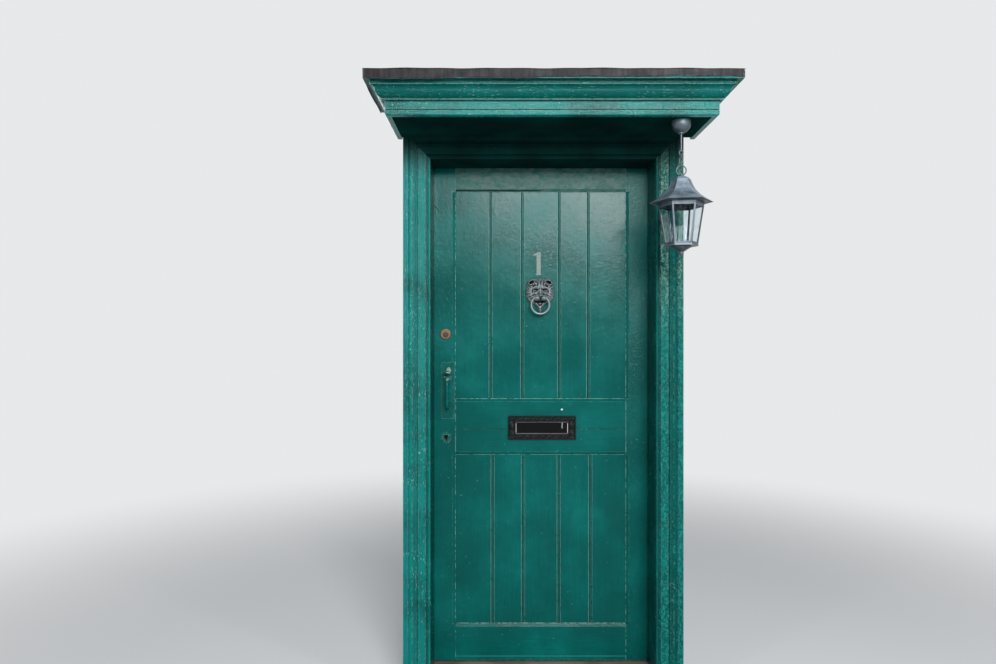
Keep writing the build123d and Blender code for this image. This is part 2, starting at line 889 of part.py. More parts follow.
def make_knocker():
    """A cast lion's mask: mane, face, brows, nose and muzzle over a beard and striking plate."""
    face = Plane.XZ.offset(-board_front)
    ring_y = board_front - ring_stand_off
    with BuildPart() as knocker_head:
        with BuildSketch(face):
            with Locations((knocker_x, knocker_z)):
                Ellipse(mane_width / 2 + 2, mane_height / 2 + 2)
        extrude(amount=knocker_plate)
        with Locations(*mane_places()):
            Sphere(lock_radius)
        with Locations((knocker_x, board_front + 30, knocker_z - 2)):
            Sphere(55)
        for side in (-1, 1):
            with Locations((knocker_x + side * 29, board_front - 13, knocker_z + 34)):
                Sphere(9)
            with Locations((knocker_x + side * 30, board_front - 22, knocker_z + 35)):
                Sphere(5.5, mode=Mode.SUBTRACT)
            with Locations((knocker_x + side * 17, board_front - 28, knocker_z)):
                Sphere(6, mode=Mode.SUBTRACT)
            with Locations((knocker_x + side * 17, board_front - 20, knocker_z - 1)):
                Sphere(4)
            capsule(
                (knocker_x + side * 7, board_front - 23, knocker_z + 6),
                (knocker_x + side * 25, board_front - 17, knocker_z + 10), 4,
            )
        capsule(
            (knocker_x - 10, board_front - 27, knocker_z - 29),
            (knocker_x + 10, board_front - 27, knocker_z - 29), 13,
        )
        capsule(
            (knocker_x, board_front - 20, knocker_z + 24), (knocker_x, board_front - 34, knocker_z - 24), 7,
        )
        with BuildSketch(face):
            with BuildLine():
                Polyline(
                    (knocker_x - 28, knocker_z - 42), (knocker_x + 28, knocker_z - 42),
                    (knocker_x + 7, knocker_z - 76), (knocker_x + 8, striker_z - 7),
                    (knocker_x - 8, striker_z - 7), (knocker_x - 7, knocker_z - 76), close=True,
                )
            make_face()
        extrude(amount=16)
        with BuildSketch(face.offset(16)):
            with Locations((knocker_x, striker_z)):
                RectangleRounded(15, 13, 3)
        extrude(amount=ring_stand_off - ring_wire - 1 - 16)
        bore = ring_wire + ring_play
        reach = 24.5
        inside = ring_radius - bore
        flare = inside - (inside**2 - reach**2) ** 0.5
        middle = (knocker_x, ring_y, ring_pivot_z)
        with BuildSketch(Plane(origin=middle, x_dir=(1, 0, 0), z_dir=(0, -1, 0))):
            with BuildLine():
                Polyline((-reach, bore + flare), (-reach, 0), (reach, 0), (reach, bore + flare))
                ThreePointArc((reach, bore + flare), (0, bore), (-reach, bore + flare))
            make_face()
        revolve(axis=Axis(origin=middle, direction=(1, 0, 0)), mode=Mode.SUBTRACT)
        block(
            knocker_x - 90, knocker_x + 90, board_front, board_front + 120, knocker_z - 130,
            knocker_z + 90, mode=Mode.SUBTRACT,
        )
    save(knocker_head, "knocker_head")
    with BuildPart() as knocker_ring:
        with Locations((knocker_x, board_front - ring_stand_off, ring_pivot_z - ring_radius)):
            Torus(ring_radius, ring_wire, rotation=ALONG_Y)
    save(knocker_ring, "knocker_ring")


def make_number():
    stem = number_stem / 2
    top = number_bottom + number_height
    with BuildPart() as house_number:
        with BuildSketch(Plane.XZ.offset(-board_front)):
            with BuildLine():
                Polyline(
                    (number_x - stem - 3, number_bottom), (number_x + stem + 3, number_bottom),
                    (number_x + stem, number_bottom + 6), (number_x + stem, top),
                    (number_x - stem + 6, top), (number_x - stem - 12, top - 9),
                    (number_x - stem - 12, top - 15), (number_x - stem, top - 13),
                    (number_x - stem, number_bottom + 6), close=True,
                )
            make_face()
        extrude(amount=number_thickness)
        rod(
            number_x, board_front, top - 8, 1.6, 4 * number_thickness, ALONG_Y, mode=Mode.SUBTRACT,
        )
    save(house_number, "house_number")


# Night latch and its cylinder


def make_night_latch():
    tail_back = leaf_back + night_case_depth - 8
    with BuildPart() as cylinder_body:
        rod(
            cylinder_x, leaf_front - collar_height / 2, cylinder_z, collar_radius, collar_height,
            ALONG_Y,
        )
        fillet(cylinder_body.edges().filter_by(GeomType.CIRCLE).sort_by(Axis.Y)[0], 3)
        rod(
            cylinder_x, leaf_front - collar_height, cylinder_z, cylinder_radius - 1, 4, ALONG_Y,
            mode=Mode.SUBTRACT,
        )
        rod(cylinder_x, lock_y, cylinder_z, cylinder_radius, leaf_thickness, ALONG_Y)
        rod(
            cylinder_x, lock_y, plug_z, plug_radius + running_clearance, 2 * leaf_thickness,
            ALONG_Y, mode=Mode.SUBTRACT,
        )
    save(cylinder_body, "cylinder_body")
    plug_front = leaf_front - collar_height + 1.5
    with BuildPart() as cylinder_plug:
        length = leaf_back - plug_front
        rod(cylinder_x, plug_front + length / 2, plug_z, plug_radius, length, ALONG_Y)
        block(
            cylinder_x - 0.8, cylinder_x + 0.8, plug_front - 1, plug_front + 20,
            plug_z - 5, plug_z + 3, mode=Mode.SUBTRACT,
        )
        block(cylinder_x - 1, cylinder_x + 1, leaf_back, tail_back, plug_z - 3, plug_z + 3)
    save(cylinder_plug, "cylinder_plug")
    case_left = -leaf_edge
    case_back = leaf_back + night_case_depth
    bolt_y = leaf_back + night_case_depth / 2
    bolt_z = cylinder_z + 14
    half = night_bolt_size / 2
    with BuildPart() as night_latch_case:
        block(
            case_left, case_left + night_case_width, leaf_back, case_back,
            cylinder_z - night_case_height / 2, cylinder_z + night_case_height / 2,
        )
        fillet(night_latch_case.edges().filter_by(Axis.Y), 4)
        room = half + slide_gap
        block(
            case_left - 1, case_left + night_case_width - 20, bolt_y - room + 2, bolt_y + room - 2,
            bolt_z - room, bolt_z + room, mode=Mode.SUBTRACT,
        )
        rod(
            cylinder_x, (leaf_back + tail_back) / 2, plug_z, 4, tail_back - leaf_back + 2, ALONG_Y,
            mode=Mode.SUBTRACT,
        )
        rod(
            cylinder_x, case_back, plug_z, 4 + running_clearance, 12, ALONG_Y, mode=Mode.SUBTRACT,
        )
    save(night_latch_case, "night_latch_case")
    with BuildPart() as night_latch_bolt:
        block(
            case_left + 0.5, case_left + 46, bolt_y - half + 2, bolt_y + half - 2,
            bolt_z - half, bolt_z + half,
        )
        nose = night_latch_bolt.edges().filter_by(Axis.Z).group_by(Axis.X)[0].sort_by(Axis.Y)[0]
        chamfer(nose, 8)
    save(night_latch_bolt, "night_latch_bolt")
    with BuildPart() as night_latch_knob:
        rod(cylinder_x, case_back + 0.5, plug_z, 4, 11, ALONG_Y)
        rod(
            cylinder_x, case_back + 1 + knob_length / 2, plug_z, knob_radius, knob_length, ALONG_Y,
        )
        ends = night_latch_knob.edges().filter_by(GeomType.CIRCLE).sort_by(Axis.Y)
        fillet(ends[-1], 5)
        for side in (-1, 1):
            block(
                cylinder_x + side * (knob_radius - 2) - 4, cylinder_x + side * (knob_radius - 2) + 4,
                case_back + 8, case_back + 8 + knob_length, plug_z - knob_radius,
                plug_z + knob_radius, mode=Mode.SUBTRACT,
            )
    save(night_latch_knob, "night_latch_knob")
    keep_right = -leaf_edge - keep_stand_off
    with BuildPart() as night_latch_keep:
        block(
            keep_right - keep_width, keep_right, leaf_back, case_back,
            bolt_z - half - 10, bolt_z + half + 10,
        )
        fillet(night_latch_keep.edges().filter_by(Axis.Y), 3)
        block(
            keep_right - keep_width + 6, keep_right + 1, leaf_back + 3, case_back - 3,
            bolt_z - half - 2, bolt_z + half + 2, mode=Mode.SUBTRACT,
        )
    save(night_latch_keep, "night_latch_keep")


# Thumb latch


def make_latch():
    plate_front = leaf_front - latch_plate_thickness
    grip_y = plate_front - grip_reach
    face = Plane.XZ.offset(-leaf_front)
    with BuildPart() as latch_handle:
        with BuildSketch(face):
            with Locations((latch_x, (latch_plate_top + latch_plate_bottom) / 2)):
                RectangleRounded(latch_plate_width, latch_plate_top - latch_plate_bottom, 6)
        extrude(amount=latch_plate_thickness)
        with BuildLine(Plane.YZ.offset(latch_x)) as path:
            FilletPolyline(
                (plate_front + 1, grip_top), (grip_y, grip_top - 8), (grip_y, grip_bottom + 8),
                (plate_front + 1, grip_bottom), radius=22,
            )
        with BuildSketch(Plane(origin=path.line @ 0, z_dir=path.line % 0)):
            Circle(grip_radius)
        sweep()
        block(
            latch_x - 15, latch_x + 15, plate_front - 18, plate_front, grip_top + 2, grip_top + 8,
        )
        slot = lever_width / 2 + 1
        block(
            latch_x - slot, latch_x + slot, plate_front - 1, leaf_front + 1, lever_z - 4,
            lever_z + 5, mode=Mode.SUBTRACT,
        )
    save(latch_handle, "latch_handle")
    with BuildPart() as thumb_lever:
        block(
            latch_x - lever_width / 2, latch_x + lever_width / 2, plate_front - 22,
            leaf_back + lever_inside, lever_z - lever_thickness / 2, lever_z + lever_thickness / 2,
        )
        rod(
            latch_x, plate_front - 26, lever_z, thumb_pad_radius, lever_thickness, UPRIGHT,
        )
        fillet(thumb_lever.edges().filter_by(GeomType.CIRCLE), 1)
    save(thumb_lever, "thumb_lever")
    bar_back = bar_front + bar_thickness
    with BuildPart() as latch_bar:
        block(bar_tip_x, bar_pivot_x, bar_front, bar_back, bar_bottom, bar_bottom + bar_height)
        rod(
            bar_pivot_x, bar_front + bar_thickness / 2, bar_z, bar_height / 2, bar_thickness,
            ALONG_Y,
        )
        rod(
            bar_pivot_x, bar_front, bar_z, 4 + running_clearance, 40, ALONG_Y, mode=Mode.SUBTRACT,
        )
    save(latch_bar, "latch_bar")
    plate_left, plate_right = -leaf_edge + 6, -stile_inner - 0.5
    guide_x = plate_left + 8
    lever_room = lever_width / 2 + 2
    with BuildPart() as latch_guide:
        block(
            plate_left, plate_right, leaf_back, leaf_back + 3, bar_bottom - 7, bar_bottom + 50,
        )
        block(
            latch_x - lever_room, latch_x + lever_room, leaf_back - 1, leaf_back + 4,
            bar_bottom - 8, bar_bottom + 7, mode=Mode.SUBTRACT,
        )
        block(
            guide_x - 6, guide_x + 6, leaf_back, bar_back + 6, bar_bottom - 7, bar_bottom + 50,
        )
        block(
            guide_x - 7, guide_x + 7, leaf_back + 3, bar_back + 1, bar_bottom - 1, bar_bottom + 46,
            mode=Mode.SUBTRACT,
        )
        rod(bar_pivot_x, (leaf_back + bar_back + 2) / 2, bar_z, 4, bar_back + 2 - leaf_back, ALONG_Y)
        rod(bar_pivot_x, bar_back + 2.5, bar_z, 7, 3, ALONG_Y)
    save(latch_guide, "latch_guide")
    keeper_right = -leaf_edge - 7
    with BuildPart() as latch_keeper:
        block(
            keeper_right - 14, keeper_right, leaf_back, leaf_back + 3, bar_bottom - 22,
            bar_bottom + 44,
        )
        block(
            keeper_right - 14, keeper_right, leaf_back, bar_back + 6, bar_bottom - 10,
            bar_bottom - 0.5,
        )
        block(
            keeper_right - 14, keeper_right, bar_back + 1.5, bar_back + 6, bar_bottom - 10,
            bar_bottom + keeper_lip,
        )
    save(latch_keeper, "latch_keeper")


# Mortice lock


def make_lock():
    edge = -leaf_edge
    case_top = lock_z + lock_case_height / 2 + 10
    case_foot = lock_z - lock_case_height / 2 + 10
    room = slide_gap
    with BuildPart() as lock_case:
        block(
            edge, edge + lock_forend, lock_y - forend_width / 2, lock_y + forend_width / 2,
            lock_z - forend_height / 2, lock_z + forend_height / 2,
        )
        block(
            edge + lock_forend, edge + lock_case_depth, lock_y - lock_case_thickness / 2,
            lock_y + lock_case_thickness / 2, case_foot, case_top,
        )
        block(
            edge - 1, edge + lock_case_depth - 6, lock_y - dead_bolt_thickness / 2 - room,
            lock_y + dead_bolt_thickness / 2 + room, dead_bolt_z - dead_bolt_height / 2 - room,
            dead_bolt_z + dead_bolt_height / 2 + room, mode=Mode.SUBTRACT,
        )
        keyhole(leaf_front - 1, lock_y + 4)
    save(lock_case, "lock_case")
    with BuildPart() as lock_bolt:
        block(
            edge + 0.3, edge + 44, lock_y - dead_bolt_thickness / 2,
            lock_y + dead_bolt_thickness / 2, dead_bolt_z - dead_bolt_height / 2,
            dead_bolt_z + dead_bolt_height / 2,
        )
    save(lock_bolt, "lock_bolt")
    with BuildPart() as lock_strike:
        block(
            -rebate_face - lock_forend, -rebate_face, lock_y - forend_width / 2,
            lock_y + forend_width / 2, lock_z - forend_height / 2, lock_z + forend_height / 2,
        )
        block(
            -rebate_face - 10, -rebate_face + 1, lock_y - dead_bolt_thickness / 2 - 1,
            lock_y + dead_bolt_thickness / 2 + 1, dead_bolt_z - dead_bolt_height / 2 - 1,
            dead_bolt_z + dead_bolt_height / 2 + 1, mode=Mode.SUBTRACT,
        )
    save(lock_strike, "lock_strike")


# Lantern


def lantern_spin(z):
    return Plane(origin=(lantern_x, lantern_y, z), x_dir=(1, 0, 0), z_dir=(0, -1, 0))


def turn_axis():
    return Axis(origin=(lantern_x, lantern_y, 0), direction=(0, 0, 1))


def make_lantern_hook():
    with BuildPart() as lantern_hook:
        with BuildSketch(lantern_spin(soffit_height)):
            with BuildLine():
                Polyline((0, -rose_height), (0, 0), (rose_radius, 0), (rose_radius, -8))
                ThreePointArc((rose_radius, -8), (rose_radius - 5, -28), (9, -rose_height + 3))
                Polyline((9, -rose_height + 3), (9, -rose_height), (0, -rose_height))
            make_face()
        revolve(axis=turn_axis())
        low, high = eye_z + eye_radius, soffit_height - rose_height
        rod(lantern_x, lantern_y, (low + high) / 2, hook_radius, high - low + 2, UPRIGHT)
        with Locations((lantern_x, lantern_y, eye_z)):
            Torus(eye_radius, eye_wire, rotation=ALONG_Y)
    save(lantern_hook, "lantern_hook")


def chain_top():
    """Height of the first link's top wire, resting over the eye's lowest wire."""
    return eye_z - eye_radius + eye_wire + link_wire + hang_gap


def chain_bottom():
    """Height of the last link's lowest wire, which the lantern's ring hangs on."""
    return lantern_ring_z + lantern_ring_radius - link_wire - lantern_ring_wire - hang_gap


def link_solid(number):
    overlap = 2 * link_wire + hang_gap
    length = (chain_top() - chain_bottom() + (chain_links - 1) * overlap) / chain_links
    top = chain_top() - number * (length - overlap)
    straight = length / 2 - link_bend
    middle = top - length / 2
    across = (0, 1, 0) if number % 2 == 0 else (1, 0, 0)
    normal = (1, 0, 0) if number % 2 == 0 else (0, -1, 0)
    plane = Plane(origin=(lantern_x, lantern_y, middle), x_dir=across, z_dir=normal)
    with BuildPart() as link:
        with BuildLine(plane) as path:
            Line((link_bend, -straight), (link_bend, straight))
            ThreePointArc((link_bend, straight), (0, straight + link_bend), (-link_bend, straight))
            Line((-link_bend, straight), (-link_bend, -straight))
            ThreePointArc((-link_bend, -straight), (0, -straight - link_bend), (link_bend, -straight))
        with BuildSketch(Plane(origin=path.line @ 0, z_dir=path.line % 0)):
            Circle(link_wire)
        sweep()
    return link.part


def make_lantern_roof():
    """A bell roof of ruled six-sided bands, hollow from its eaves up to the cap."""
    with BuildPart() as lantern_roof:
        for radius, z in roof_rings:
            with BuildSketch(Plane(origin=(lantern_x, lantern_y, z))):
                RegularPolygon(radius, 6, rotation=-lantern_turn)
        loft(ruled=True)
        for radius, z in roof_rings[:-2]:
            with BuildSketch(Plane(origin=(lantern_x, lantern_y, z))):
                RegularPolygon(radius - roof_skin, 6, rotation=-lantern_turn)
        loft(ruled=True, mode=Mode.SUBTRACT)
        with Locations((lantern_x, lantern_y, loop_z())):
            Torus(loop_radius, loop_wire, rotation=ALONG_X)
    save(lantern_roof, "lantern_roof")


def loop_z():
    """Middle of the roof's loop, which hangs on the ring's lowest wire."""
    ring_low = lantern_ring_z - lantern_ring_radius
    return ring_low + lantern_ring_wire + loop_wire + hang_gap - loop_radius


def roof_inside(z):
    """Corner radius of the roof's inner face at a height near its eaves."""
    (low_r, low_z), (high_r, high_z) = roof_rings[0], roof_rings[1]
    share = (z - low_z) / (high_z - low_z)
    return low_r + share * (high_r - low_r) - roof_skin


def face_plane(number):
    """A plane through the lantern's middle that looks out through one side."""
    angle = radians(60 * number + 30 - lantern_turn)
    out = (cos(angle), sin(angle), 0)
    across = (-sin(angle), cos(angle), 0)
    return Plane(origin=(lantern_x, lantern_y, 0), x_dir=across, z_dir=out)


def window_points(bar, rail):
    (high_r, high_z), (low_r, low_z) = body_top, body_bottom
    low, high = low_z + rail, high_z - rail
    low_half, high_half = low_r / 2 - bar, high_r / 2 - bar
    return [(-low_half, low), (low_half, low), (high_half, high), (-high_half, high)]


def hexagon_plane(z):
    return Plane(origin=(lantern_x, lantern_y, z))


def make_lantern_frame():
    """Tapered glazing bars between a top plate inside the eaves and a base with a finial."""
    plate_top = body_top[1] + neck_height
    plate_foot = plate_top - plate_thickness
    with BuildPart() as lantern_frame:
        for radius, z in (body_bottom, body_top):
            with BuildSketch(hexagon_plane(z)):
                RegularPolygon(radius, 6, rotation=-lantern_turn)
        loft(ruled=True)
        for radius, z in (body_bottom, body_top):
            with BuildSketch(hexagon_plane(z)):
                RegularPolygon(radius - body_skin, 6, rotation=-lantern_turn)
        loft(ruled=True, mode=Mode.SUBTRACT)
        for number in range(6):
            with BuildSketch(face_plane(number)):
                with BuildLine():
                    Polyline(*window_points(body_bar, body_rail), close=True)
                make_face()
            extrude(amount=body_top[0] + 10, mode=Mode.SUBTRACT)
        with BuildSketch(hexagon_plane(body_top[1])):
            RegularPolygon(body_top[0], 6, rotation=-lantern_turn)
            RegularPolygon(body_top[0] - body_skin, 6, rotation=-lantern_turn, mode=Mode.SUBTRACT)
        extrude(amount=neck_height - plate_thickness)
        with BuildSketch(hexagon_plane(plate_foot)):
            RegularPolygon(roof_inside(plate_top) - hang_gap, 6, rotation=-lantern_turn)
        extrude(amount=plate_thickness)
        with BuildSketch(hexagon_plane(body_bottom[1])):
            RegularPolygon(body_bottom[0] + 2, 6, rotation=-lantern_turn)
        extrude(amount=-base_thickness)
        with BuildSketch(lantern_spin(body_bottom[1] - base_thickness)):
            tip = finial_bottom - body_bottom[1] + base_thickness
            with BuildLine():
                Polyline((0, tip), (0, 0), (34, 0), (34, -4))
                ThreePointArc((34, -4), (20, -12), (8, tip + 14))
                ThreePointArc((8, tip + 14), (8, tip + 6), (3, tip))
                Line((3, tip), (0, tip))
            make_face()
        revolve(axis=turn_axis())
    save(lantern_frame, "lantern_frame")
    with BuildPart() as lamp_holder:
        rod(
            lantern_x, lantern_y, plate_foot - holder_length / 2, holder_radius, holder_length,
            UPRIGHT,
        )
        rod(
            lantern_x, lantern_y, plate_foot - holder_length, holder_radius - 4, holder_length,
            UPRIGHT, mode=Mode.SUBTRACT,
        )
    save(lamp_holder, "lamp_holder")


def make_lantern_glass():
    """Six flat panes that lie against the backs of the glazing bars."""
    outer = body_skin + pane_gap
    inner = outer + pane_thickness
    panes = []
    for number in range(6):
        with BuildPart() as pane:
            for inset, mode in ((outer, Mode.ADD), (inner, Mode.SUBTRACT)):
                for radius, z in (body_bottom, body_top):
                    with BuildSketch(hexagon_plane(z)):
                        RegularPolygon(radius - inset, 6, rotation=-lantern_turn)
                loft(ruled=True, mode=mode)
            with BuildSketch(face_plane(number)):
                with BuildLine():
                    Polyline(*window_points(body_bar - pane_lap, body_rail - pane_rebate), close=True)
                make_face()
            extrude(amount=body_top[0] + 10, mode=Mode.INTERSECT)
        panes.append(pane.part)
    save_group(panes, "lantern_glass")


def make_lantern():
    make_lantern_hook()
    save_group([link_solid(number) for number in range(chain_links)], "lantern_chain")
    with BuildPart() as lantern_ring:
        with Locations((lantern_x, lantern_y, lantern_ring_z)):
            Torus(lantern_ring_radius, lantern_ring_wire, rotation=ALONG_Y)
    save(lantern_ring, "lantern_ring")
    make_lantern_roof()
    make_lantern_frame()
    make_lantern_glass()


make_threshold()
make_jambs()
make_frame_head()
make_architraves()
make_hood()
make_hood_top()
make_stiles()
make_rails()
make_boards("upper", upper_joints, mid_rail_top, top_rail_bottom)
make_boards("lower", lower_joints, bottom_rail_top, mid_rail_bottom)
make_hinges()
make_letter_plate()
make_knocker()
make_number()
make_night_latch()
make_latch()
make_lock()
make_lantern()
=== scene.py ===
import math

import bmesh
import bpy
import numpy as np
from mathutils import Matrix, Vector


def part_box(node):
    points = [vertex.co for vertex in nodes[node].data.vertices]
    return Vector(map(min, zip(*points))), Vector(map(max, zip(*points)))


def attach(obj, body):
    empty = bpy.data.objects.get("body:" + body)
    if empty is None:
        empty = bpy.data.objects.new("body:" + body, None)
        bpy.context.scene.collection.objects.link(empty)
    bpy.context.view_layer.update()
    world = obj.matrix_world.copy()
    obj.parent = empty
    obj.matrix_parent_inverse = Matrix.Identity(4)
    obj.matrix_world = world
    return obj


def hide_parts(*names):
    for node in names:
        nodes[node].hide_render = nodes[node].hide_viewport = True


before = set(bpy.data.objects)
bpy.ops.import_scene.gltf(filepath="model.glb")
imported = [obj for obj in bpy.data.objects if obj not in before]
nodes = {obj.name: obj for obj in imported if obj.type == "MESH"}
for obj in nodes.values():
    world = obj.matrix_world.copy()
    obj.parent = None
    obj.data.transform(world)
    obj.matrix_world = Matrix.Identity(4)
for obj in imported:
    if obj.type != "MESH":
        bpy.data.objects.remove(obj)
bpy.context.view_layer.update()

# Camera and light

FRAME_PIXELS, FOCAL_PIXELS = 996, 658
SENSOR = 36.0
PALE = (0.80, 0.81, 0.82, 1)


def make_camera():
    """The photograph's own view: level, from in front and a little to the left of the middle."""
    data = bpy.data.cameras.new("camera")
    data.sensor_width = SENSOR
    data.lens = SENSOR * FOCAL_PIXELS / FRAME_PIXELS
    data.clip_start, data.clip_end = 0.05, 60.0
    camera = bpy.data.objects.new("camera", data)
    camera.location = (-0.172, -2.5, 1.376)
    camera.rotation_euler = (math.radians(90), 0, 0)
    bpy.context.scene.collection.objects.link(camera)
    bpy.context.scene.camera = camera


def make_lamp(name, place, aim, width, height, power, roll=0.0, only_gloss=False):
    """A rectangular lamp that faces its aim, turned about its own axis by so many degrees."""
    data = bpy.data.lights.new(name, "AREA")
    data.shape = "RECTANGLE"
    data.size, data.size_y = width, height
    data.energy = power
    lamp = bpy.data.objects.new(name, data)
    lamp.location = place
    lamp.visible_diffuse = not only_gloss
    facing = (Vector(aim) - Vector(place)).to_track_quat("-Z", "Y").to_matrix()
    lamp.rotation_euler = (facing @ Matrix.Rotation(math.radians(roll), 3, "Z")).to_euler()
    bpy.context.scene.collection.objects.link(lamp)


def make_world():
    """A soft sky for the object and a pale background behind it."""
    world = bpy.data.worlds.new("studio")
    bpy.context.scene.world = world
    world.use_nodes = True
    tree = world.node_tree
    tree.nodes.clear()
    seen = seen_directly(tree)
    around = tree.nodes.new("ShaderNodeBackground")
    around.inputs["Color"].default_value = (0.9, 0.95, 1.0, 1)
    around.inputs["Strength"].default_value = 0.22
    behind = tree.nodes.new("ShaderNodeBackground")
    behind.inputs["Color"].default_value = PALE
    mix = tree.nodes.new("ShaderNodeMixShader")
    out = tree.nodes.new("ShaderNodeOutputWorld")
    tree.links.new(seen, mix.inputs[0])
    tree.links.new(around.outputs[0], mix.inputs[1])
    tree.links.new(behind.outputs[0], mix.inputs[2])
    tree.links.new(mix.outputs[0], out.inputs[0])


def seen_directly(tree):
    """1 for rays from the camera, from gloss and through glass."""
    path = tree.nodes.new("ShaderNodeLightPath")
    total = path.outputs["Is Camera Ray"]
    for name in ("Is Glossy Ray", "Is Transmission Ray"):
        more = tree.nodes.new("ShaderNodeMath")
        more.operation = "MAXIMUM"
        tree.links.new(total, more.inputs[0])
        tree.links.new(path.outputs[name], more.inputs[1])
        total = more.outputs[0]
    return total


OUTER_FACE = (0.160, 0.164)


class Graph:
    """A material's nodes, with a short call for each kind that is used here."""

    def __init__(self, name):
        self.material = bpy.data.materials.new(name)
        self.material.use_nodes = True
        self.tree = self.material.node_tree
        self.tree.nodes.clear()
        self.place = self.add("ShaderNodeTexCoord").outputs["Object"]
        self.heights = []

    def add(self, kind, values=None, **settings):
        node = self.tree.nodes.new(kind)
        for key, value in settings.items():
            setattr(node, key, value)
        for socket, value in (values or {}).items():
            if isinstance(value, bpy.types.NodeSocket):
                self.tree.links.new(value, node.inputs[socket])
            else:
                node.inputs[socket].default_value = value
        return node

    def math(self, operation, a, b=0.0, clamp=False):
        node = self.add("ShaderNodeMath", {0: a, 1: b}, operation=operation, use_clamp=clamp)
        return node.outputs[0]

    def step(self, value, low, high, start=0.0, end=1.0):
        """A smooth step from start to end as the value goes from low to high."""
        node = self.add(
            "ShaderNodeMapRange",
            {"Value": value, "From Min": low, "From Max": high, "To Min": start, "To Max": end},
            interpolation_type="SMOOTHSTEP",
        )
        return node.outputs["Result"]

    def mix(self, share, a, b):
        node = self.add("ShaderNodeMix", {0: share, 6: a, 7: b}, data_type="RGBA")
        return node.outputs[2]

    def noise(self, scale, stretch=(1, 1, 1), detail=3.0, roughness=0.55, distortion=0.0):
        """Noise with so many lumps a metre along X, Y and Z."""
        where = self.add(
            "ShaderNodeMapping",
            {"Vector": self.place, "Scale": tuple(scale * s for s in stretch)},
        )
        node = self.add(
            "ShaderNodeTexNoise",
            {"Vector": where.outputs[0], "Scale": 1.0, "Detail": detail, "Roughness": roughness,
             "Distortion": distortion},
        )
        return node.outputs[0]

    def axes(self):
        node = self.add("ShaderNodeSeparateXYZ", {0: self.place})
        return node.outputs[0], node.outputs[1], node.outputs[2]

    def edges(self, radius, low=0.01, high=0.12):
        """1 on arrises and in inner corners, within about radius of them."""
        bevel = self.add("ShaderNodeBevel", {"Radius": radius}, samples=4)
        flat = self.add("ShaderNodeNewGeometry").outputs["Normal"]
        dot = self.add(
            "ShaderNodeVectorMath", {0: bevel.outputs[0], 1: flat}, operation="DOT_PRODUCT"
        )
        return self.step(dot.outputs["Value"], 1 - high, 1 - low, 1.0, 0.0)

    def open_air(self, distance):
        """1 where nothing stands close, less in corners and grooves."""
        node = self.add("ShaderNodeAmbientOcclusion", {"Distance": distance}, samples=4)
        return node.outputs["AO"]

    def distance(self, a, b):
        squares = self.math("ADD", self.math("MULTIPLY", a, a), self.math("MULTIPLY", b, b))
        return self.math("SQRT", squares)

    def spot(self, x, z, wide, high, ragged):
        """1 inside an uneven oval on a face that looks along Y."""
        across, _, up = self.axes()
        a = self.math("DIVIDE", self.math("SUBTRACT", across, x), wide)
        b = self.math("DIVIDE", self.math("SUBTRACT", up, z), high)
        away = self.distance(a, b)
        wobble = self.math("MULTIPLY", self.math("SUBTRACT", self.noise(ragged), 0.5), 0.9)
        return self.step(self.math("ADD", away, wobble), 0.8, 1.0, 1.0, 0.0)

    def line(self, value, at, half, soft=0.0006):
        """1 where the value lies within half of the place given."""
        away = self.math("ABSOLUTE", self.math("SUBTRACT", value, at))
        return self.step(away, half, half + soft, 1.0, 0.0)

    def outside(self, mask):
        """Keeps a mark to the face that looks out of the house."""
        depth = self.axes()[1]
        return self.math("MULTIPLY", mask, self.step(depth, *OUTER_FACE, 1.0, 0.0))

    def raise_by(self, value, height):
        """Adds a relief, whose height is in metres."""
        self.heights.append(self.math("MULTIPLY", value, height))

    def finish(self, colour, roughness, metallic=0.0, specular=0.5, **constants):
        """The shader, with every relief that was added as one bump."""
        values = {"Base Color": colour, "Roughness": roughness, "Metallic": metallic,
                  "Specular IOR Level": specular}
        values.update({key.replace("_", " "): value for key, value in constants.items()})
        shader = self.add("ShaderNodeBsdfPrincipled", values)
        if self.heights:
            total = self.heights[0]
            for height in self.heights[1:]:
                total = self.math("ADD", total, height)
            bump = self.add("ShaderNodeBump", {"Height": total, "Distance": 1.0, "Strength": 1.0})
            self.tree.links.new(bump.outputs[0], shader.inputs["Normal"])
        out = self.add("ShaderNodeOutputMaterial")
        self.tree.links.new(shader.outputs[0], out.inputs[0])
        return self.material


# Materials

# How noise is stretched for brush marks along one way
ALONG = {"x": (0.02, 0.02, 1.0), "z": (1.0, 1.0, 0.02)}
# The paint's tones, from sheltered to bright, then the wear and chip colours, and a near-black for
# dirt in cracks and for painted shade
DEEP = (0.0008, 0.078, 0.070, 1)
GREEN = (0.0008, 0.112, 0.101, 1)
LIGHT = (0.0020, 0.185, 0.168, 1)
CHALK = (0.05, 0.25, 0.21, 1)
BARE = (0.32, 0.56, 0.48, 1)
GRIME_AND_SHADE = (0.003, 0.012, 0.011, 1)


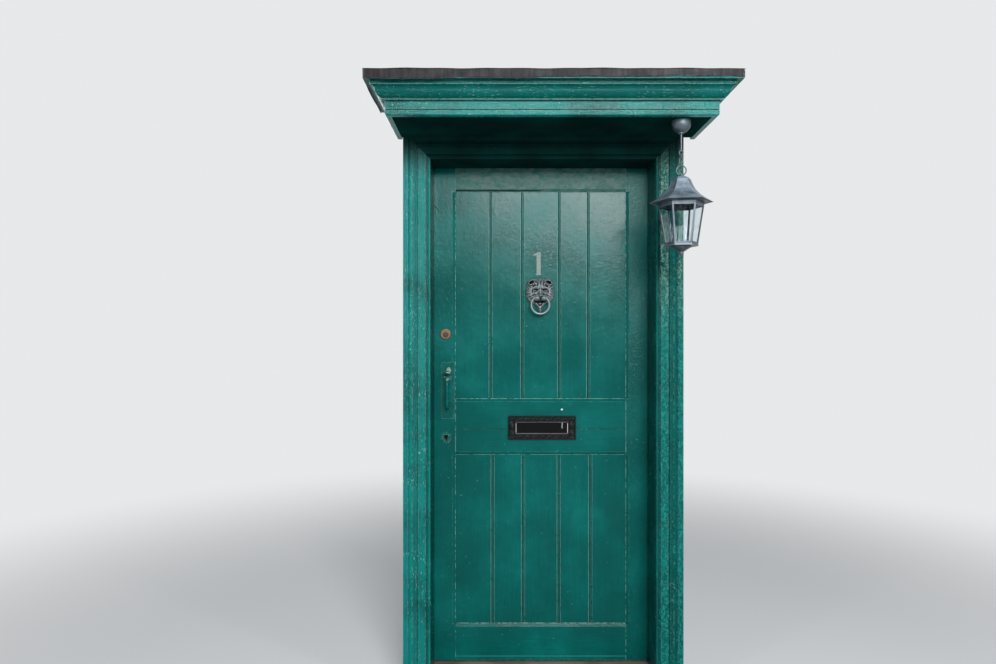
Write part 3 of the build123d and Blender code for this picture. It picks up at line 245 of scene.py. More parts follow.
def paint(name, along, flake, wear, brightness, marks=None, painted_shade=0.0, radius=0.003, gloss=0.08,
          glint_share=0.0):
    """Thick gloss paint, brushed along one way and flaking, pale at the arrises with wear that is
    partly painted highlight, with pale painted glints, and with painted shade in its grooves.

    Flake, wear and brightness are shares, and so are the share of painted shade laid over the paint
    in blotches and the share of pale painted glints; marks adds what one piece has alone."""
    g = Graph(name)
    streaks = g.noise(420, ALONG[along], 3.0, 0.6)
    bristles = g.noise(1100, ALONG[along], 2.0, 0.5)
    blotches = g.noise(5, detail=4.0)
    lumps = g.noise(60, detail=4.0, roughness=0.6)
    pits = g.noise(260, detail=3.0, roughness=0.6)
    tone = g.math("ADD", g.math("MULTIPLY", blotches, 0.7), g.math("MULTIPLY", streaks, 0.3))
    colour = g.mix(g.step(tone, 0.40 - 0.12 * brightness, 0.66 - 0.12 * brightness), DEEP, GREEN)
    bright = 0.2 * brightness
    share = g.step(tone, 0.62 - bright, 0.80 - bright, 0.0, 0.3 + 2.5 * bright)
    colour = g.mix(share, colour, LIGHT)
    scaly = g.step(lumps, 0.56, 0.64)
    colour = g.mix(g.math("MULTIPLY", scaly, 0.25 * flake), colour, LIGHT)
    near = g.open_air(0.012)
    edge = g.edges(radius)
    # Pale wear on the raised arrises; along the beads it also stands in for highlights, so it is
    # partly painted highlight
    raised = g.math("MULTIPLY", edge, g.step(near, 0.32, 0.6))
    ragged = g.step(g.noise(75, detail=5.0, roughness=0.7), 0.57 - 0.15 * wear, 0.63 - 0.15 * wear)
    wear_and_highlight = g.math("MULTIPLY", raised, ragged)
    speck = g.step(g.noise(150, detail=1.0), 0.80 - 0.06 * flake, 0.83 - 0.06 * flake)
    wear_and_highlight = g.math("MAXIMUM", wear_and_highlight, g.math("MULTIPLY", speck, 0.8))
    # Painted glints: pale flecks along the brush, mixed in with the wear
    if glint_share:
        stretch = (1, 1, 0.4) if along == "z" else (0.4, 1, 1)
        glints = g.step(g.noise(190, stretch, 2.0), 0.62, 0.68)
        glints = g.math("MULTIPLY", glints, g.step(g.noise(9, detail=2.0), 0.40, 0.60))
        wear_and_highlight = g.math("MAXIMUM", wear_and_highlight, g.math("MULTIPLY", glints, glint_share))
    chips = g.mix(pits, CHALK, BARE)
    colour = g.mix(g.math("MULTIPLY", wear_and_highlight, 0.92), colour, chips)
    # Painted shade: darker in grooves and corners, where something stands close
    colour = g.mix(g.step(near, 0.35, 0.8, 0.85, 0.0), colour, GRIME_AND_SHADE)
    # Painted shade laid over the paint in blotches
    if painted_shade:
        colour = g.mix(g.step(blotches, 0.2, 0.8, painted_shade, 0.8 * painted_shade), colour, GRIME_AND_SHADE)
    if marks:
        colour = marks(g, colour)
    sheen = g.math("ADD", g.math("MULTIPLY", blotches, 0.5), g.math("MULTIPLY", pits, 0.5))
    roughness = g.step(sheen, 0.3, 0.7, 0.14, 0.32)
    roughness = g.math("ADD", roughness, g.math("MULTIPLY", wear_and_highlight, 0.3), clamp=True)
    g.raise_by(streaks, 0.00010 + 0.00020 * flake)
    g.raise_by(bristles, 0.00003 + 0.00005 * flake)
    g.raise_by(lumps, 0.0012 * flake + 0.0003)
    g.raise_by(scaly, 0.00035 * flake)
    if flake > 0.5:
        g.raise_by(g.noise(130, detail=3.0, distortion=1.8), 0.0020 * flake)
    g.raise_by(pits, 0.00018 * flake + 0.00004)
    g.raise_by(wear_and_highlight, -0.0003)
    return g.finish(colour, roughness, specular=gloss)


def hood_shade(g, colour):
    """Painted shade that thickens under the hood."""
    return g.mix(g.step(g.axes()[2], 1.93, 2.11, 0.0, 0.88), colour, GRIME_AND_SHADE)


def right_post_marks(g, colour):
    """Two bands of wrinkled paint with painted highlights on the wrinkles, paler towards the top as
    a painted reflection.
    """
    across, _, up = g.axes()
    wrinkles = g.step(g.noise(120, (1, 1, 0.7), 3.0, distortion=1.5), 0.46, 0.60)
    # Painted highlight: a pale tone on the wrinkles, lighter higher up
    pale = g.mix(g.step(up, 1.30, 1.75), (0.010, 0.260, 0.225, 1), (0.19, 0.32, 0.25, 1))
    for middle, half in ((0.462, 0.016), (0.521, 0.010)):
        band = g.line(across, middle, half, 0.003)
        colour = g.mix(g.math("MULTIPLY", g.math("MULTIPLY", band, wrinkles), 0.8), colour, pale)
    g.raise_by(wrinkles, 0.0006)
    return hood_shade(g, colour)


def top_rail_marks(g, colour):
    """A painted reflection of the sky, pale in patches over the outer face, and the opened joint
    under the top rail.
    """
    # Painted reflection: the outer face paler in patches, as the sky shows in gloss
    sky_reflection = g.step(g.noise(70, (0.6, 1, 1), 4.0, 0.65), 0.38, 0.62, 0.2, 0.75)
    colour = g.mix(g.outside(sky_reflection), colour, (0.085, 0.145, 0.125, 1))
    across, _, up = g.axes()
    wander = g.math("MULTIPLY", g.math("SUBTRACT", g.noise(28, (1, 0, 0), 4.0, 0.7), 0.5), 0.012)
    crack = g.line(g.math("ADD", up, wander), 1.946, 0.0013, 0.001)
    crack = g.outside(g.math("MULTIPLY", crack, g.step(across, -0.02, 0.03, 1.0, 0.0)))
    g.raise_by(crack, -0.002)
    return g.mix(crack, colour, GRIME_AND_SHADE)


def middle_marks(g, colour):
    """The joint between the middle rail's two timbers, and a white chip above the plate."""
    _, _, up = g.axes()
    joint = g.line(up, 0.985, 0.0006, 0.0008)
    broken = g.outside(g.math("MULTIPLY", joint, g.step(g.noise(14, (1, 0, 0), 3.0), 0.35, 0.5)))
    g.raise_by(broken, -0.001)
    colour = g.mix(broken, colour, GRIME_AND_SHADE)
    chip = g.outside(g.spot(0.085, 1.064, 0.0042, 0.0036, 200))
    return g.mix(chip, colour, (0.75, 0.82, 0.78, 1))


def closing_stile_marks(g, colour):
    """Flaking near the top, paint chipped off around the keyhole, and painted shade in and round the
    keyhole.
    """
    broken = g.step(g.noise(260), 0.54, 0.60)
    ring = g.outside(g.math("MULTIPLY", g.spot(-0.3806, 0.950, 0.022, 0.026, 120), broken))
    # Painted shade: the keyhole and the paint close round it near-black
    keyhole_shade = g.outside(g.spot(-0.3806, 0.952, 0.0085, 0.0125, 220))
    colour = g.mix(g.math("MULTIPLY", ring, 0.8), colour, (0.16, 0.36, 0.30, 1))
    colour = g.mix(keyhole_shade, colour, (0.006, 0.006, 0.005, 1))
    across, _, up = g.axes()
    slant = g.math("ADD", up, g.math("MULTIPLY", across, 1.5))
    wander = g.math("MULTIPLY", g.math("SUBTRACT", g.noise(60, detail=4.0), 0.5), 0.02)
    split = g.line(g.math("ADD", slant, wander), 1.245, 0.0012, 0.0012)
    split = g.math("MULTIPLY", split, g.step(up, 1.855, 1.865))
    split = g.outside(g.math("MULTIPLY", split, g.step(up, 1.90, 1.915, 1.0, 0.0)))
    g.raise_by(split, -0.0015)
    g.raise_by(ring, -0.0005)
    return g.mix(split, colour, GRIME_AND_SHADE)


def foot_marks(g, colour):
    """A scuffed band along the foot of the leaf."""
    _, _, up = g.axes()
    band = g.outside(g.line(up, 0.071, 0.0012, 0.0012))
    return g.mix(g.math("MULTIPLY", band, 0.6), colour, CHALK)


def lead_sheet():
    """Dull sheet lead, streaked by rain and brighter on its lip."""
    g = Graph("lead")
    runs = g.noise(120, (1.0, 1.0, 0.10), 3.0, 0.6)
    cloud = g.noise(14, detail=4.0)
    fine = g.noise(300, detail=3.0)
    colour = g.mix(g.step(runs, 0.34, 0.68), (0.008, 0.0075, 0.009, 1), (0.026, 0.025, 0.028, 1))
    colour = g.mix(g.step(cloud, 0.55, 0.75, 0.0, 0.4), colour, (0.055, 0.054, 0.060, 1))
    edge = g.edges(0.003)
    colour = g.mix(g.math("MULTIPLY", edge, g.step(fine, 0.35, 0.6)), colour, (0.27, 0.27, 0.33, 1))
    g.raise_by(cloud, 0.003)
    g.raise_by(runs, 0.0005)
    g.raise_by(fine, 0.0001)
    return g.finish(colour, g.step(cloud, 0.3, 0.7, 0.42, 0.62), metallic=0.0, specular=0.10)


def cast_iron(name, dark, bright, rubbed, metallic=0.35, rough=(0.30, 0.52), specular=0.25,
              marks=None, hollow=0.009, arris=0.0016):
    """Old cast iron, rubbed bright on its raised parts and dark in its hollows: partly its own wear
    and blackening, partly painted highlight and painted shade.
    """
    g = Graph(name)
    grain = g.noise(420, detail=4.0, roughness=0.65)
    cloud = g.noise(60, detail=3.0)
    open_air = g.open_air(hollow)
    edge = g.edges(arris, 0.004, 0.08)
    uneven = g.math("MULTIPLY", g.math("SUBTRACT", cloud, 0.5), 0.6)
    # Darker where something stands close and lighter in the open: partly blackening, partly painted
    # shade and painted highlight
    height = g.math("ADD", g.step(open_air, 0.45, 0.95), uneven)
    colour = g.mix(g.step(height, 0.25, 0.95), dark, bright)
    # Rubbed edges on the raised parts, partly painted highlight
    rubbed_and_highlit = g.math("MULTIPLY", edge, g.step(open_air, 0.6, 0.85))
    colour = g.mix(g.math("MULTIPLY", rubbed_and_highlit, g.step(grain, 0.3, 0.6)), colour, rubbed)
    if marks:
        colour = marks(g, colour)
    g.raise_by(grain, 0.00022)
    g.raise_by(cloud, 0.0006)
    return g.finish(colour, g.step(grain, 0.3, 0.7, *rough), metallic=metallic, specular=specular)


def flap_marks(g, colour):
    """A pale scratch down the letter flap."""
    across, _, up = g.axes()
    wander = g.math("MULTIPLY", g.math("SUBTRACT", g.noise(160, (0, 0, 1), 2.0), 0.5), 0.022)
    scratch = g.line(g.math("ADD", across, wander), 0.0865, 0.0011, 0.0008)
    scratch = g.math("MULTIPLY", scratch, g.line(up, 1.000, 0.011, 0.002))
    return g.mix(scratch, colour, (0.42, 0.46, 0.46, 1))


def painted_iron():
    """The same green paint over iron, rubbed through on the edges, which is partly painted
    highlight, and with painted shade in the corners.
    """
    g = Graph("painted_iron")
    cloud = g.noise(26, detail=4.0)
    lumps = g.noise(110, detail=4.0)
    near = g.open_air(0.010)
    edge = g.edges(0.0018)
    colour = g.mix(g.step(cloud, 0.35, 0.65), DEEP, GREEN)
    ragged = g.step(g.noise(130, detail=5.0, roughness=0.7), 0.40, 0.52)
    # Edge wear that also stands in for the plate's bright edges: partly painted highlight
    wear_and_highlight = g.math("MULTIPLY", g.math("MULTIPLY", edge, g.step(near, 0.55, 0.85)), ragged)
    speck = g.step(g.noise(190, detail=2.0), 0.71, 0.75)
    chips = g.mix(lumps, (0.06, 0.30, 0.25, 1), (0.34, 0.52, 0.46, 1))
    colour = g.mix(g.math("MAXIMUM", wear_and_highlight, speck), colour, chips)
    # Painted shade: darker in the corners, where something stands close
    colour = g.mix(g.step(near, 0.3, 0.75, 0.9, 0.0), colour, GRIME_AND_SHADE)
    for x, z, wide, high in ((-0.370, 1.222, 0.009, 0.014), (-0.374, 1.188, 0.014, 0.005),
                             (-0.404, 1.139, 0.0035, 0.006)):
        rubbed = g.math("MULTIPLY", g.spot(x, z, wide, high, 230), 0.75)
        colour = g.mix(rubbed, colour, (0.30, 0.44, 0.38, 1))
    g.raise_by(lumps, 0.0006)
    g.raise_by(wear_and_highlight, -0.00025)
    return g.finish(colour, g.step(cloud, 0.3, 0.7, 0.16, 0.30), specular=0.12)


def bare_metal(name, low, high, rough, tarnish, spread=(0.45, 0.65)):
    """Turned or rolled metal, clouded by tarnish and dull in its corners."""
    g = Graph(name)
    turning = g.noise(700, (1, 0.2, 1), 2.0)
    cloud = g.noise(55, detail=4.0)
    colour = g.mix(g.step(turning, 0.3, 0.7), low, high)
    dull = g.math("MULTIPLY", g.step(cloud, *spread), 0.75)
    dull = g.math("MAXIMUM", dull, g.step(g.open_air(0.006), 0.4, 0.8, 0.8, 0.0))
    colour = g.mix(dull, colour, tarnish)
    g.raise_by(turning, 0.00006)
    g.raise_by(cloud, 0.0001)
    return g.finish(colour, g.step(cloud, 0.3, 0.7, rough, rough + 0.2), metallic=0.9)


def cylinder_metal():
    """Browned brass, brighter on the collar's rim, with a dark line round the plug."""
    low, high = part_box("cylinder_plug")
    x, z = (low.x + high.x) / 2, (low.z + high.z) / 2
    g = Graph("brass")
    across, _, up = g.axes()
    a, b = g.math("SUBTRACT", across, x), g.math("SUBTRACT", up, z)
    away = g.distance(a, b)
    grain = g.noise(500, detail=3.0)
    cloud = g.noise(120, detail=4.0)
    colour = g.mix(g.step(away, 0.0095, 0.0135), (0.050, 0.038, 0.022, 1), (0.150, 0.095, 0.062, 1))
    colour = g.mix(g.step(cloud, 0.45, 0.7, 0.0, 0.5), colour, (0.055, 0.040, 0.030, 1))
    colour = g.mix(g.line(away, 0.0098, 0.0006, 0.0006), colour, (0.010, 0.008, 0.006, 1))
    g.raise_by(cloud, 0.0003)
    g.raise_by(grain, 0.00008)
    return g.finish(colour, g.step(grain, 0.3, 0.7, 0.32, 0.5), metallic=0.45, specular=0.2)


def number_metal():
    """Cast numeral with most of its pale finish weathered to grey."""
    g = Graph("pale_metal")
    cloud = g.noise(90, detail=4.0)
    grain = g.noise(500, detail=3.0)
    edge = g.edges(0.0012)
    colour = g.mix(g.step(cloud, 0.35, 0.65), (0.035, 0.058, 0.052, 1), (0.105, 0.165, 0.150, 1))
    colour = g.mix(g.step(grain, 0.60, 0.70, 0.0, 0.6), colour, (0.06, 0.07, 0.06, 1))
    colour = g.mix(g.math("MULTIPLY", edge, 0.55), colour, (0.09, 0.10, 0.09, 1))
    g.raise_by(cloud, 0.0002)
    g.raise_by(grain, 0.0001)
    return g.finish(colour, g.step(cloud, 0.3, 0.7, 0.4, 0.65), metallic=0.2)


def lantern_metal(name, shade=1.0):
    """Grey-blue weathered metal, paler on its ribs, partly as painted highlight, with painted shade
    in its corners; a shade below one makes a darker copy, as painted shade.
    """
    g = Graph(name)
    dark, pale, run, rib = (
        (shade * r, shade * gr, shade * b, 1) for r, gr, b in
        ((0.085, 0.120, 0.150), (0.205, 0.270, 0.330), (0.33, 0.42, 0.49), (0.50, 0.60, 0.68))
    )
    cloud = g.noise(26, detail=4.0)
    runs = g.noise(150, (1, 1, 0.12), 3.0)
    grain = g.noise(500, detail=3.0)
    near = g.open_air(0.012)
    edge = g.edges(0.0018)
    colour = g.mix(g.step(cloud, 0.32, 0.68), dark, pale)
    colour = g.mix(g.step(runs, 0.56, 0.74, 0.0, 0.5), colour, run)
    # Pale ribs, partly painted highlight on the edges of the bars
    rubbed_and_highlit = g.math("MULTIPLY", edge, g.step(near, 0.5, 0.8))
    colour = g.mix(g.math("MULTIPLY", rubbed_and_highlit, g.step(grain, 0.32, 0.55, 0.2, 0.9)), colour, rib)
    # Painted shade: darker in corners, where something stands close
    colour = g.mix(g.step(near, 0.3, 0.75, 0.75, 0.0), colour, (0.012, 0.015, 0.02, 1))
    g.raise_by(cloud, 0.0006)
    g.raise_by(grain, 0.00012)
    return g.finish(colour, g.step(cloud, 0.3, 0.7, 0.34, 0.52), metallic=0.3, specular=0.4)


def pane_glass():
    """Clear panes with a little dust towards their edges."""
    g = Graph("glass")
    cloud = g.noise(30, detail=4.0)
    grit = g.noise(500, detail=2.0)
    colour = g.mix(g.step(cloud, 0.4, 0.8), (0.88, 0.93, 0.95, 1), (0.77, 0.84, 0.87, 1))
    g.raise_by(cloud, 0.0002)
    roughness = g.step(grit, 0.5, 0.75, 0.02, 0.16)
    return g.finish(colour, roughness, specular=0.05, Transmission_Weight=1.0, IOR=1.15)


def holder_plastic():
    """Dark moulded plastic with a fine grain."""
    g = Graph("holder_plastic")
    grain = g.noise(600, detail=3.0)
    cloud = g.noise(60, detail=3.0)
    colour = g.mix(g.step(cloud, 0.35, 0.65), (0.030, 0.030, 0.032, 1), (0.075, 0.075, 0.078, 1))
    g.raise_by(grain, 0.00008)
    return g.finish(colour, g.step(grain, 0.3, 0.7, 0.45, 0.62))


def oak():
    """Bare weathered oak, greyed and split along its grain."""
    g = Graph("weathered_oak")
    grain = g.noise(260, (0.025, 1, 1), 5.0, 0.65)
    broad = g.noise(30, (0.06, 1, 1), 3.0)
    pores = g.noise(900, (0.03, 1, 1), 2.0)
    cloud = g.noise(7, detail=4.0)
    colour = g.mix(g.step(grain, 0.32, 0.68), (0.070, 0.055, 0.040, 1), (0.230, 0.195, 0.150, 1))
    colour = g.mix(g.step(cloud, 0.4, 0.7, 0.0, 0.6), colour, (0.26, 0.25, 0.22, 1))
    split = g.step(broad, 0.70, 0.74)
    colour = g.mix(split, colour, (0.015, 0.012, 0.010, 1))
    # Painted shade: darker in corners, where something stands close
    colour = g.mix(g.step(g.open_air(0.02), 0.3, 0.8, 0.7, 0.0), colour, (0.02, 0.02, 0.016, 1))
    g.raise_by(grain, 0.0008)
    g.raise_by(pores, 0.0002)
    g.raise_by(split, -0.0015)
    return g.finish(colour, g.step(grain, 0.3, 0.7, 0.6, 0.85), specular=0.3)


# Pieces modelled here: the knocker's mask, the letter plate and the lead sheet


def add_piece(name, points, faces, body, slot, material, *replaced):
    """A mesh piece from points in metres, in place of the CAD nodes named."""
    mesh = bpy.data.meshes.new(name)
    mesh.from_pydata([tuple(p) for p in points], [], [tuple(f) for f in faces])
    shape = bmesh.new()
    shape.from_mesh(mesh)
    bmesh.ops.remove_doubles(shape, verts=shape.verts, dist=2e-6)
    bmesh.ops.dissolve_degenerate(shape, edges=shape.edges, dist=1e-6)
    bmesh.ops.recalc_face_normals(shape, faces=shape.faces)
    shape.to_mesh(mesh)
    shape.free()
    for polygon in mesh.polygons:
        polygon.use_smooth = True
    mesh.materials.append(material)
    piece = bpy.data.objects.new(name, mesh)
    bpy.context.scene.collection.objects.link(piece)
    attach(piece, body)
    if replaced:
        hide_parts(*replaced)
    return piece


def bridge(rings):
    """Faces between closed rings of point numbers, each as long as the next."""
    faces = []
    for a, b in zip(rings, rings[1:]):
        for i in range(len(a)):
            j = (i + 1) % len(a)
            faces.append((a[i], a[j], b[j], b[i]))
    return faces


def soft_max(a, b, blend):
    """The higher of two heights, blended where they are close."""
    share = np.clip(0.5 + 0.5 * (a - b) / blend, 0, 1)
    return b + (a - b) * share + blend * share * (1 - share)


def in_oval(u, v, cu, cv, ru, rv, turn):
    """Places from an oval's middle, in shares of its radii, the oval turned by so many degrees."""
    t = math.radians(turn)
    a = ((u - cu) * math.cos(t) + (v - cv) * math.sin(t)) / ru
    b = ((v - cv) * math.cos(t) - (u - cu) * math.sin(t)) / rv
    return a, b


def mound(u, v, cu, cv, ru, rv, turn, height, fullness=0.5):
    """A rounded oval mound; a small fullness makes it flat-topped."""
    a, b = in_oval(u, v, cu, cv, ru, rv, turn)
    return height * np.clip(1 - a * a - b * b, 0, 1) ** fullness


def ridge(u, v, start, end, wide, narrow, height, low=None):
    """A rounded ridge between two points, from wide to narrow and from height to low."""
    low = height if low is None else low
    du, dv = end[0] - start[0], end[1] - start[1]
    t = np.clip(((u - start[0]) * du + (v - start[1]) * dv) / (du * du + dv * dv), 0, 1)
    away = np.hypot(u - start[0] - t * du, v - start[1] - t * dv)
    half = wide + (narrow - wide) * t
    return (height + (low - height) * t) * np.sqrt(np.clip(1 - (away / half) ** 2, 0, 1))


def dent(u, v, cu, cv, ru, rv, turn, depth):
    """A soft oval hollow."""
    a, b = in_oval(u, v, cu, cv, ru, rv, turn)
    return depth * np.exp(-(a * a + b * b) ** 1.5)


MM = 0.001
LEAF_FRONT, BOARD_FRONT = 0.150, 0.158
SEAT = 0.00005  # how far a casting's back stands off what it is fixed to
MASK_X, MASK_Z = -0.003, 1.543
MASK_OUTLINE = [  # the right half, in millimetres from the mask's middle
    (0, 47), (12, 49), (22, 48), (33, 46.5), (43, 41), (50, 30), (53, 18), (55.5, 6),
    (56.5, -6), (56, -18), (53.5, -28), (49, -37), (42, -45), (35, -49), (28, -50), (23, -54),
    (17, -60), (11, -67), (8.2, -74), (7.6, -86), (8.4, -97), (4, -100.5), (0, -101.5),
]


def mask_height(u, v, rho):
    """How far the lion's mask stands off the boards, in millimetres."""
    height = 7 + 15 * np.sqrt(np.clip(1 - rho ** 2, 0, 1)) * np.clip((v + 62) / 20, 0, 1)
    locks = np.zeros_like(u)
    rows = ((22, 33, 57, 6.6, 7.0), (18, 25, 45, 5.6, 9.0))
    for row, (count, inner, outer, wide, tall) in enumerate(rows):
        for i in range(count):
            angle = math.radians(-58 + (296.0 * (i + 0.5 * row) / (count - 1)))
            swirl = angle + math.radians(9 if math.cos(angle) > 0 else -9)
            flat = 0.94 if abs(math.sin(angle)) > 0.6 else 1.0
            start = (inner * math.cos(angle), inner * math.sin(angle) - 4)
            end = (outer * flat * math.cos(swirl), outer * flat * math.sin(swirl) * 0.86 - 2)
            locks = np.maximum(locks, ridge(u, v, start, end, wide, 2.2, tall, tall * 0.55))
    face = np.hypot(u / 30, (v + 8) / 36)
    height = height + locks * np.clip((face - 0.75) / 0.25, 0, 1)
    forms = 21 + 6 * np.sqrt(np.clip(1 - face ** 2, 0, 1))
    forms = np.where(face < 1, forms, 0)
    parts = [
        mound(u, v, 0.5, 20, 20, 20, 0, 27), mound(u, v, -17.5, 26, 6.5, 14, 12, 25),
        mound(u, v, -5, 27, 6.2, 17, 4, 29), mound(u, v, 8, 27, 6.2, 17, -4, 29.5),
        mound(u, v, 19, 25, 6.0, 13, -12, 25),
        ridge(u, v, (-7, 6), (-27, 11), 6.0, 4.0, 32, 25),
        ridge(u, v, (8.5, 6), (29, 12), 6.0, 4.0, 32.5, 25),
        ridge(u, v, (1, 14), (1, -22), 6.0, 8.2, 31, 38.5),
        mound(u, v, 1, -22.5, 11.5, 7.5, 0, 44, 0.35),
        mound(u, v, -19, -12, 11.5, 12.5, 12, 30), mound(u, v, 21, -12, 12, 12.5, -12, 31.5),
        mound(u, v, -12.5, -31, 16, 11.5, 16, 40, 0.22),
        mound(u, v, 13.5, -31, 16, 11.5, -16, 40, 0.22),
        ridge(u, v, (-17, -50), (-1, -70), 6, 4.5, 18, 16),
        ridge(u, v, (17, -50), (0, -70), 6, 4.5, 18, 16),
        mound(u, v, 0, -53, 12, 7, 0, 22), ridge(u, v, (0, -64), (0, -90), 6.5, 5.5, 17, 13),
        mound(u, v, 0, -94, 8.2, 7.0, 0, 26),
        mound(u, v, -18, 0.2, 5.4, 3.6, 4, 27.5), mound(u, v, 19.5, 0.2, 5.4, 3.6, -4, 27.5),
    ]
    for part in parts:
        forms = soft_max(forms, part, 2.2)
    ears = np.zeros_like(u)
    for side in (-1, 1):
        for i in range(14):
            a, b = (math.radians(360 * k / 14) for k in (i, i + 1))
            tilt = math.radians(24 * side)
            loop = []
            for t in (a, b):
                x, z = 13.5 * math.cos(t), 8.2 * math.sin(t)
                loop.append((
                    side * 34 + x * math.cos(tilt) + z * math.sin(tilt),
                    32 - x * math.sin(tilt) + z * math.cos(tilt),
                ))
            ears = np.maximum(ears, ridge(u, v, loop[0], loop[1], 3.6, 3.6, 29))
    height = soft_max(height, forms, 1.6)
    height = soft_max(height, ears, 1.2)
    for side in (-1, 1):
        height -= dent(u, v, side * 34, 32, 9.0, 4.6, -24 * side, 13)
        height -= dent(u, v, side * 24.5, 18.5, 7.5, 2.6, -38 * side, 9)
        height -= dent(u, v, side * 12.8, 2.0, 4.2, 3.6, -20 * side, 8)
        height -= dent(u, v, side * 19 + 0.5, 3.8, 9.5, 2.2, -6 * side, 6)
        height -= dent(u, v, side * 19 + 0.5, -4.4, 7.5, 1.8, 6 * side, 3)
        height -= dent(u, v, side * 31, -4, 3.0, 8.0, 0, 7)
        height -= dent(u, v, side * 5.8 + 1, -25.5, 2.6, 1.9, 25 * side, 7)
        height -= dent(u, v, side * 29, -20, 4.5, 3.0, -40 * side, 6)
        height -= dent(u, v, side * 9.5 + 1, -12, 2.4, 10.0, 6 * side, 3.5)
        for k in range(3):
            height -= dent(u, v, side * (12 + 3.5 * k), -31 - 3.0 * k, 1.2, 1.1, 0, 2.4)
    height -= dent(u, v, 1, -35, 1.6, 6.5, 0, 9)
    height -= dent(u, v, 1, -46, 22, 3.4, 0, 16)
    for groove in (-11.3, 1.6, 13.8):
        height -= dent(u, v, groove, 28, 1.5, 13, 0, 5)
    waves = np.sin(u * 1.9 + v * 0.35) * np.sin(v * 1.3 - u * 0.6)
    return height + 0.25 * waves


def make_mask(material):
    """The lion's mask of the knocker, cast in one with its striking button."""
    around, steps = 480, 96
    right = [(math.atan2(v, u), math.hypot(u, v)) for u, v in MASK_OUTLINE]
    left = [(math.atan2(v, -u), r) for (_, r), (u, v) in zip(right, MASK_OUTLINE)]
    table = sorted(((a % (2 * math.pi), r) for a, r in right + left[1:-1]))
    angles = np.linspace(0, 2 * np.pi, around, endpoint=False)
    reach = np.interp(angles, [a for a, _ in table], [r for _, r in table], period=2 * np.pi)
    lobes = np.clip((np.sin(angles) + 0.75) / 0.2, 0, 1)
    reach = reach * (1 + 0.022 * np.cos(23 * angles) * lobes)
    points, rings = [], []
    for k in range(steps + 1):
        rho = k / steps
        u, v = rho * reach * np.cos(angles), rho * reach * np.sin(angles)
        height = mask_height(u, v, np.full(around, rho))
        rim = np.clip((1 - rho) * reach / 2.5, 0, 1)
        height = height * (0.55 + 0.45 * np.sqrt(1 - (1 - rim) ** 2))
        rings.append(range(len(points), len(points) + around))
        points += [
            (MASK_X + a * MM, BOARD_FRONT - h * MM, MASK_Z + b * MM)
            for a, b, h in zip(u, v, height)
        ]
    rings.append(range(len(points), len(points) + around))
    points += [(x, BOARD_FRONT - SEAT, z) for x, _, z in points[-around:]]
    faces = bridge([list(ring) for ring in rings])
    faces.append(list(rings[-1]))
    add_piece("knocker_mask", points, faces, "leaf", "black_iron", material, "knocker_head")


PLATE_X, PLATE_Z = 0.0045, 0.990
PLATE_HALF, WINDOW_HALF = (136.0, 47.5), (104.5, 23.5)


def plate_height(u, v):
    """The letter plate's cast face: a rolled border, a band of leaves and an inner border."""
    outer = np.minimum(PLATE_HALF[0] - abs(u), PLATE_HALF[1] - abs(v))
    inner = np.maximum(abs(u) - WINDOW_HALF[0], abs(v) - WINDOW_HALF[1])
    height = np.full_like(u, 4.8)
    leaves = np.zeros_like(u)
    for side in (-1, 1):
        for i in range(15):
            x, lean = -105 + 15 * i, 35 if i % 2 else -35
            swing = 2.4 if i % 2 else -2.4
            leaves = np.maximum(leaves, mound(u, v, x, side * 35.3 + swing, 6.4, 2.3, lean, 2.2))
            leaves = np.maximum(leaves, mound(u, v, x + 7, side * 35.3, 1.7, 1.7, 0, 2.0))
        stem = abs(v - side * 35.3 - 2.6 * np.sin(u * math.pi / 15))
        vine = 1.3 * np.sqrt(np.clip(1 - stem ** 2, 0, 1))
        leaves = np.maximum(leaves, vine * (abs(u) < 112))
        for turn in (-1, 1):
            for k in range(26):
                a, b = (0.42 * n for n in (k, k + 1))
                curl = [
                    (side * (121.5 + (1.2 + 0.62 * t) * math.cos(t)),
                     turn * (17 + (1.2 + 1.15 * t) * math.sin(t)))
                    for t in (a, b)
                ]
                leaves = np.maximum(leaves, ridge(u, v, curl[0], curl[1], 1.4, 1.4, 2.2))
            for k in range(4):
                lean = 30 * turn - 22 * k
                leaves = np.maximum(
                    leaves, mound(u, v, side * (117 + 3.2 * k), turn * 37, 1.6, 5.5, lean, 2.3)
                )
        leaves = np.maximum(leaves, mound(u, v, side * 121.5, 0, 6.5, 4.6, 0, 2.6))
    height = height + (
        leaves * np.clip((outer - 6.5) / 1.5, 0, 1) * np.clip((inner - 5.2) / 1.0, 0, 1)
    )
    roll = np.clip(1 - ((outer - 3.0) / 3.1) ** 2, 0, 1)
    height = np.where(outer < 6.2, 4.9 + 3.1 * np.sqrt(roll), height)
    roll = np.clip(1 - ((inner - 2.4) / 2.5) ** 2, 0, 1)
    height = np.where(inner < 5.0, 4.9 + 2.4 * np.sqrt(roll), height)
    waves = np.sin(u * 0.23 + 1.1) * np.sin(v * 0.31) + 0.6 * np.sin(u * 0.71 + v * 0.5)
    return height + 0.10 * waves


